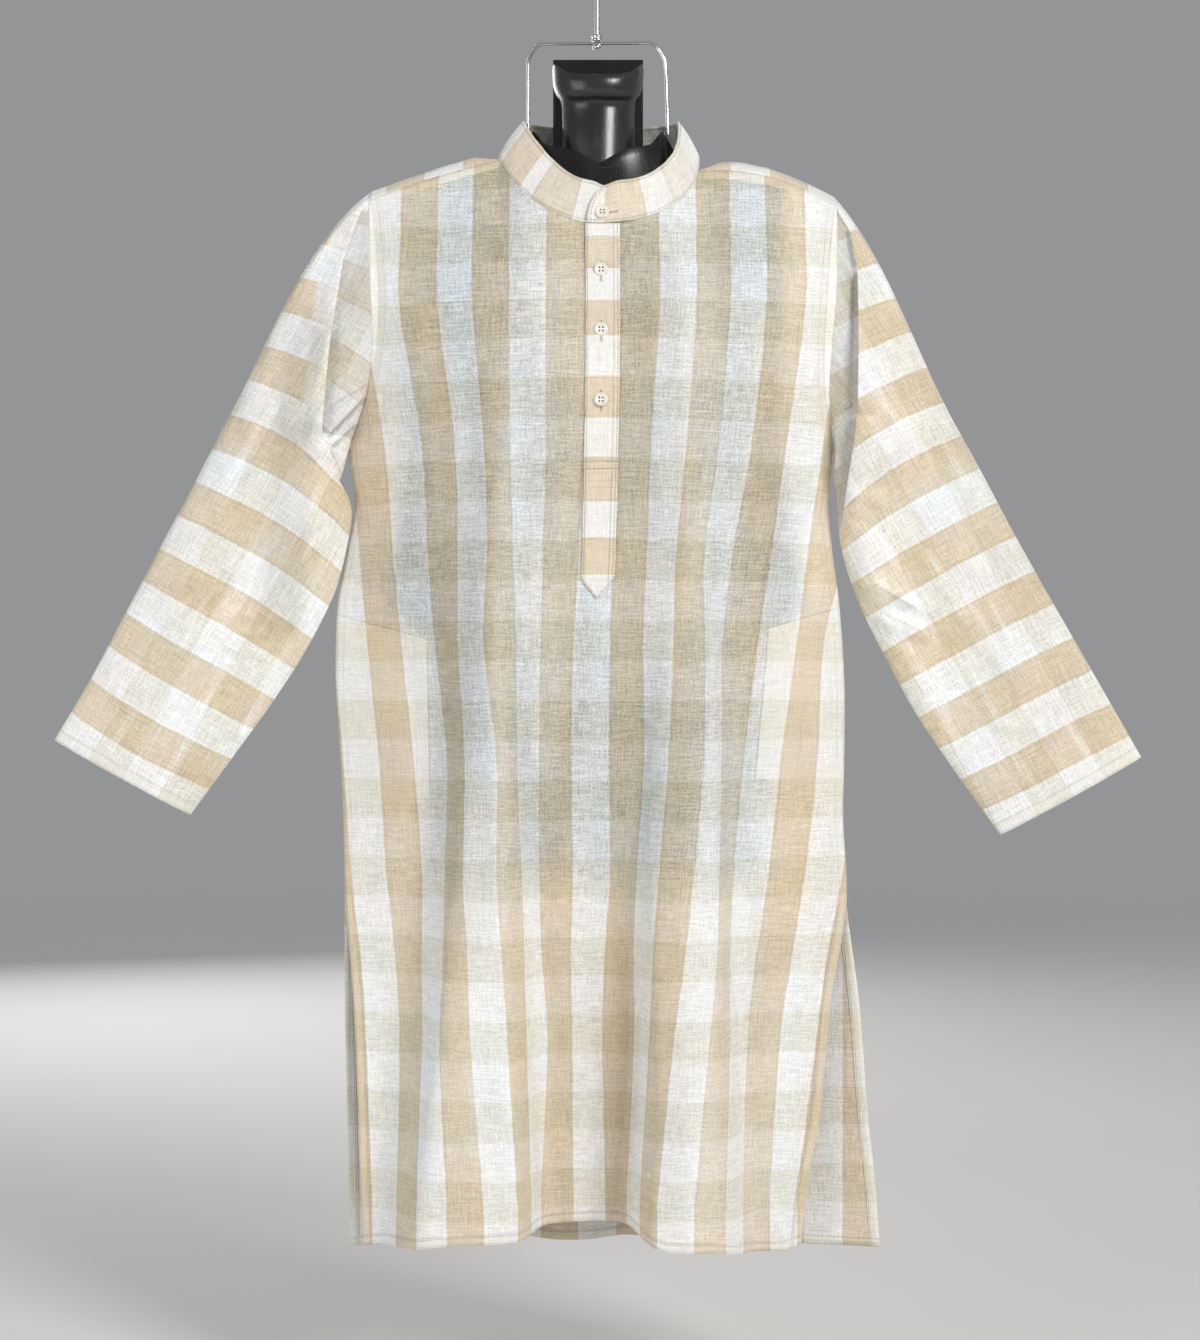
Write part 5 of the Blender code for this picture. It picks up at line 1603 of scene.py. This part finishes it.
# The form: height, half-width, front depth, back depth.
FORM_SECTIONS = (
    (345, 166, -32, 8),
    (450, 162, -50, 8),
    (560, 156, -68, 8),
    (650, 160, -80, 9),
    (740, 168, -90, 10),
    (800, 170, -90, 12),
    (870, 164, -80, 14),
    (905, 158, -72, 15),
)
FORM_TURN = 905              # above this the form rounds over to its shoulders and neck
FORM_TURN_RISE = 0.8         # the share of the form's rows below that
# The edge of the form's neck: angle from the front, height.
FORM_NECK_EDGE = ((0, 1004), (24, 1018), (52, 1025), (72, 1038), (100, 1043))
FORM_NECK = (1.0, 62.0, -8.0, 40.0)
FORM_TIP = (172.0, 6.0)
# The crest of the form's shoulder: share of the way out from the neck, height.
FORM_SHOULDER = ((0, 1043), (0.12, 1021), (0.28, 1002.6), (0.5, 1000), (0.8, 992), (1, 983))
FORM_NECK_SHARE = 0.42
FORM_LEAVE = Vector((0, 3, 30))          # how the form rounds over: up from its side, and from
FORM_ARRIVE = (Vector((0, -3, -30)), Vector((0, -20, -2)))    # below its neck or its shoulder
FORM_WALL = 3.0
FORM_COLUMNS = 96
FORM_ROWS = 64
NECK_WALL = 2.5
RIM_ROUND = 0.7
# The neck block: height, half-width, front y.
NECK_BLOCK = (
    (990, 34, -45.7), (1030, 34.5, -42), (1056, 34.5, -39), (1063, 35.5, -40), (1067, 39, -44.5),
    (1072, 41.5, -47.8), (1079, 42.4, -48.8), (1084, 42.4, -48), (1087, 41.8, -46.5),
)
NECK_BLOCK_X = 1.0
NECK_BLOCK_BACK = -1.0
NECK_HORN_RISE = 17.0
NECK_COLUMNS = 64
NECK_ROWS = 90

form_courses = courses(FORM_SECTIONS)
form_neck_edge = Course(FORM_NECK_EDGE, 1)
form_shoulder = Course(FORM_SHOULDER, 1)
neck_courses = courses(NECK_BLOCK)


def form_point(place, rise):
    """A point of the form's outer face, from its foot to its shoulders or neck."""
    height = FORM_SECTIONS[0][0] + (FORM_TURN - FORM_SECTIONS[0][0]) * min(1.0, rise / FORM_TURN_RISE)
    half_width, forward, behind = (course(height) for course in form_courses)
    angle = radians(90 * place)
    x = FORM_X + half_width * (1 if place > 0 else -1) * abs(sin(angle)) ** 0.9
    depth = behind - (behind - forward) * abs(cos(angle)) ** 0.85
    if rise <= FORM_TURN_RISE:
        return x, depth, height
    part = (rise - FORM_TURN_RISE) / (1 - FORM_TURN_RISE)
    share = abs(place) / FORM_NECK_SHARE
    middle_x, neck_width, middle_y, neck_depth = FORM_NECK
    side = 1 if place > 0 else -1
    bearing = min(1.0, share) * 100
    edge_x = middle_x + side * neck_width * sin(radians(bearing))
    edge_y = middle_y - neck_depth * cos(radians(bearing))
    edge_height = form_neck_edge(bearing)
    if share > 1:
        out = (abs(place) - FORM_NECK_SHARE) / (1 - FORM_NECK_SHARE)
        edge_x += (FORM_X + side * FORM_TIP[0] - edge_x) * out
        edge_y += (FORM_TIP[1] - edge_y) * out
        edge_height = form_shoulder(out)
    start, end = Vector((x, depth, height)), Vector((edge_x, edge_y, edge_height))
    arrive = FORM_ARRIVE[0].lerp(FORM_ARRIVE[1], smooth((share - 1) / 0.45))
    return drawn_curve(part, start, start + FORM_LEAVE, end + arrive, end)


def neck_block_point(column, row):
    """A point of the neck block's outer face: round its front, and up to its rim."""
    low, high = NECK_BLOCK[0][0], NECK_BLOCK[-1][0]
    bearing = radians(-90 + 180 * column / NECK_COLUMNS)
    height = low + (high - low) * row / NECK_ROWS
    half_width, forward = (course(height) for course in neck_courses)
    horn = NECK_HORN_RISE * abs(sin(bearing)) ** 4 * smooth((row / NECK_ROWS - 0.6) / 0.4)
    return (NECK_BLOCK_X + half_width * sin(bearing),
            NECK_BLOCK_BACK - (NECK_BLOCK_BACK - forward) * abs(cos(bearing)) ** 0.8, height + horn)


def black_plastic(name, deep, worn):
    """Glossy black plastic with fine scratches and a dull bloom."""
    finish = Finish(name)
    spot = finish.spot()
    bloom = finish.noise(spot, 22.0, 4.0)
    scratch = finish.drawn_out(spot, (520.0, 520.0, 18.0), 3.0)
    cross = finish.drawn_out(spot, (30.0, 30.0, 640.0))
    marks = scratch.step(0.62, 0.74).most(cross.step(0.66, 0.78))
    colour = finish.tint(bloom.step(0.35, 0.75), deep, worn)
    colour = finish.tint(marks * 0.35, colour, srgb(86, 86, 88))
    finish.set(Base_Color=colour, Roughness=0.2 + bloom * 0.12 + marks * 0.15)
    finish.set(Normal=finish.bump(scratch, 0.0003, 0.25), Specular_IOR_Level=0.55)
    return finish.material


def bare(*_):
    """A mark for a surface without the check."""
    return (0.0, 0.0), {}


plastic = black_plastic("black_plastic", srgb(11, 11, 12), srgb(24, 24, 26))
# The neck block's copy is lighter: painted light, for its lit face.
lit_black_plastic = black_plastic("painted_lit_black_plastic", srgb(34, 33, 32), srgb(54, 52, 50))
torso = lay_cloth(
    "torso_form", lambda i, j: form_point(2 * i / FORM_COLUMNS - 1, j / FORM_ROWS), FORM_COLUMNS,
    FORM_ROWS, FORM_WALL, bare, plastic,
)
neck_block = lay_cloth(
    "neck_block", neck_block_point, NECK_COLUMNS, NECK_ROWS, NECK_WALL, bare, lit_black_plastic
)
for piece, node in ((torso, "form_torso"), (neck_block, "form_neck")):
    rim = piece.modifiers.new("rim", "BEVEL")
    rim.width = RIM_ROUND * MM
    rim.segments = 2
    rim.limit_method = "ANGLE"
    rim.angle_limit = radians(50)
    fixed(piece, node)
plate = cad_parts["form_plate"]
plate.data.materials.clear()
plate.data.materials.append(plastic)

# ----------------------------------------
# BAIL, SWIVEL AND HOOK.  A bent chrome wire carries the form.  A small turned swivel with
# a nut below sits on its bar, and the steel hook turns in it and hangs on the rail.

WIRE_R = 1.6
HOOK_R = 2.2
HOOK_BEND = 18.0             # centre line of the hook's bend
BAR_HEIGHT = 1124.5          # the bail's top bar
BAIL_LEG = 65.4              # from the middle out to each leg
BAIL_FOOT = 1040.0           # where the legs meet the form's shoulders
LEG_TOP = 1110.0             # where the legs bend in to the bar
BEND_CENTRE = 1198.0         # the middle of the hook's bend
KNEE_DROP = 12.0             # from the bend's lowest point down to where the shank leaves its line
SWIVEL_THICK = 6.0
SWIVEL_STAND = 0.9           # between the bail's bar and the swivel
NUT_THICK = 3.4
HOOK_START = -72.0           # degrees round the bend from +X, where the hook's bend starts
HOOK_FINISH = 185.0
HOOK_STEPS = 48


def rounded(points, radius, steps=5):
    """A path with its inner corners rounded off."""
    path = [Vector(points[0])]
    for before, corner, after in zip(points, points[1:], points[2:]):
        corner = Vector(corner)
        entry = corner + (Vector(before) - corner).normalized() * radius
        leave = corner + (Vector(after) - corner).normalized() * radius
        for i in range(steps + 1):
            t = i / steps
            path.append(entry * (1 - t) ** 2 + corner * (2 * t * (1 - t)) + leave * t * t)
    path.append(Vector(points[-1]))
    return path


def metal(name, light, dark, roughness, drawn):
    """Bright metal: drawn lines along it, small dull spots, handling wear."""
    finish = Finish(name)
    spot = finish.spot()
    lines = finish.drawn_out(spot, drawn)
    spots = finish.noise(spot, 420.0, 3.0).step(0.66, 0.82)
    colour = finish.tint(spots * 0.6, light, dark)
    finish.set(Base_Color=colour, Metallic=1.0, Roughness=roughness + lines * 0.12 + spots * 0.25)
    finish.set(Normal=finish.bump(lines, 0.0001, 0.3))
    return finish.material


def rod(name, path, radius, material):
    """A round wire through the points of a path, with its ends closed."""
    curve = bpy.data.curves.new(name, "CURVE")
    curve.dimensions = "3D"
    curve.bevel_depth = radius * MM
    curve.bevel_resolution = 5
    curve.use_fill_caps = True
    spline = curve.splines.new("POLY")
    spline.points.add(len(path) - 1)
    for knot, spot in zip(spline.points, path):
        knot.co = (*mm(*spot), 1.0)
    drawn = in_scene(f"{name}_path", curve)
    mesh = settled(drawn)
    bpy.data.objects.remove(drawn, do_unlink=True)
    mesh.name = name
    mesh.shade_smooth()
    mesh.materials.clear()
    mesh.materials.append(material)
    return in_scene(name, mesh)


chrome = metal("bail_wire", srgb(214, 214, 216), srgb(120, 118, 116), 0.12, (40.0, 900.0, 40.0))
steel = metal("hook_rod", srgb(190, 188, 184), srgb(104, 100, 96), 0.26, (900.0, 900.0, 30.0))
left_x, right_x = FORM_NECK[0] - BAIL_LEG, FORM_NECK[0] + BAIL_LEG
bail_path = rounded((
    (left_x, 0, BAIL_FOOT), (left_x, 0, LEG_TOP), (left_x + 9, 0, BAR_HEIGHT),
    (right_x - 12, 0, BAR_HEIGHT + 1), (right_x - 2.5, 0, LEG_TOP), (right_x, 0, BAIL_FOOT),
), 6.0, 8)
bail = rod("bail_bent_wire", bail_path, WIRE_R, chrome)
swivel_foot = BAR_HEIGHT + WIRE_R + SWIVEL_STAND
bend = []
for step in range(HOOK_STEPS + 1):
    angle = radians(HOOK_START + (HOOK_FINISH - HOOK_START) * step / HOOK_STEPS)
    bend.append(Vector((HOOK_BEND * cos(angle), 0, BEND_CENTRE + HOOK_BEND * sin(angle))))
knee = Vector((0, 0, BEND_CENTRE - HOOK_BEND - KNEE_DROP))
shank_foot = Vector((0, 0, swivel_foot + SWIVEL_THICK + SEAM))
hook_path = rounded([shank_foot, knee, Vector((3, 0, knee.z + 5)), bend[0]], 2.4, 6)[:-1] + bend
hook = rod("hook_rod", hook_path, HOOK_R, steel)

# The profiles of the swivel and its nut, from foot to top: radius, height.
SWIVEL_PROFILE = (
    (0.0, 0.0), (4.4, 0.0), (4.9, 0.5), (5.0, 1.6), (4.3, 2.2), (4.3, 3.4), (4.95, 4.0), (4.9, 5.2),
    (4.4, 6.0), (0.0, 6.0),
)
NUT_PROFILE = ((0.0, 0.0), (2.6, 0.0), (3.7, 0.7), (4.0, 1.4), (4.0, 2.6), (3.7, 3.4), (0.0, 3.4))
fixed(bail, "bail")
fixed(hook, "hook")
for name, node, profile, foot in (
    ("swivel_barrel", "swivel", SWIVEL_PROFILE, swivel_foot),
    ("swivel_lock_nut", "swivel_nut", NUT_PROFILE, BAR_HEIGHT - WIRE_R - NUT_THICK),
):
    shape = spun(profile, 36)
    bmesh.ops.translate(shape, verts=shape.verts, vec=mm(0, 0, foot))
    fixed(new_piece(name, shape, chrome), node)

# ----------------------------------------
# STUDIO.  A plain pale floor that fades away into an even grey, a large soft key light from
# the upper right, a weak fill from the left, one more behind, and the camera in front.

FLOOR_DROP = 150.0           # below the hem
FLOOR_RADIUS = 7000.0
FLOOR_FADE = 1.6             # metres from the middle, where the floor starts to fade
CAMERA_AWAY = 2500.0
CAMERA_X = 2.8
CAMERA_HEIGHT = 540.0
FRAME_TALL = 1251.6          # what the frame's height takes in at the garment
SENSOR = 36.0


def floor_finish():
    """Matt painted board, very slightly uneven, that fades out far from the garment."""
    finish = Finish("studio_board")
    spot = finish.spot()
    x, y, _ = finish.parts(spot)
    cloud = finish.noise(spot, 1.4, 3.0)
    away = (x * x + y * y) ** 0.5
    colour = finish.tint(cloud, srgb(230, 229, 227), srgb(236, 235, 233))
    finish.set(Base_Color=colour, Roughness=0.95, Specular_IOR_Level=0.1)
    finish.set(Alpha=away.step(FLOOR_RADIUS * MM, FLOOR_FADE))
    return finish.material


floor_disc = bmesh.new()
bmesh.ops.create_circle(floor_disc, cap_ends=True, segments=96, radius=FLOOR_RADIUS * MM)
bmesh.ops.translate(floor_disc, verts=floor_disc.verts, vec=mm(0, 0, -FLOOR_DROP))
floor = new_piece("studio_floor", floor_disc, floor_finish(), smooth_faces=False)


# The lamps: x, y and height from the garment's middle, size, all in metres; watts; colour.
LAMPS = {
    "key": (2.7, -3.7, 2.2, 1.5, 160.0, (1.0, 0.985, 0.975)),
    "fill": (-2.6, -2.2, 0.2, 2.2, 37.0, (0.96, 0.98, 1.0)),
    "back": (-1.2, 3.4, 1.0, 2.0, 42.0, (1.0, 0.99, 0.98)),
}
for name, (x, y, up, size, watts, colour) in LAMPS.items():
    light = bpy.data.lights.new(name, "AREA")
    light.shape = "SQUARE"
    light.size = size
    light.energy = watts
    light.color = colour
    lamp = in_scene(name, light)
    target = Vector((0, 0, (CAMERA_HEIGHT - RAIL_HEIGHT) * MM))
    lamp.location = target + Vector((x, y, up))
    lamp.rotation_euler = (target - lamp.location).to_track_quat("-Z", "Y").to_euler()
    lamp.visible_camera = False

world = bpy.data.worlds.new("studio")
world.use_nodes = True
surroundings = world.node_tree.nodes["Background"].inputs
surroundings["Color"].default_value = (0.95, 0.97, 1.0, 1.0)
surroundings["Strength"].default_value = 0.31
bpy.context.scene.world = world
bpy.context.scene.view_settings.view_transform = "Standard"

lens = bpy.data.cameras.new("front_camera")
lens.sensor_fit = "VERTICAL"
lens.sensor_height = SENSOR
lens.lens = SENSOR * CAMERA_AWAY / FRAME_TALL
lens.clip_end = 50.0
camera = in_scene("front_camera", lens)
camera.location = mm(CAMERA_X, -CAMERA_AWAY, CAMERA_HEIGHT)
camera.rotation_euler = (pi / 2, 0, 0)
bpy.context.scene.camera = camera
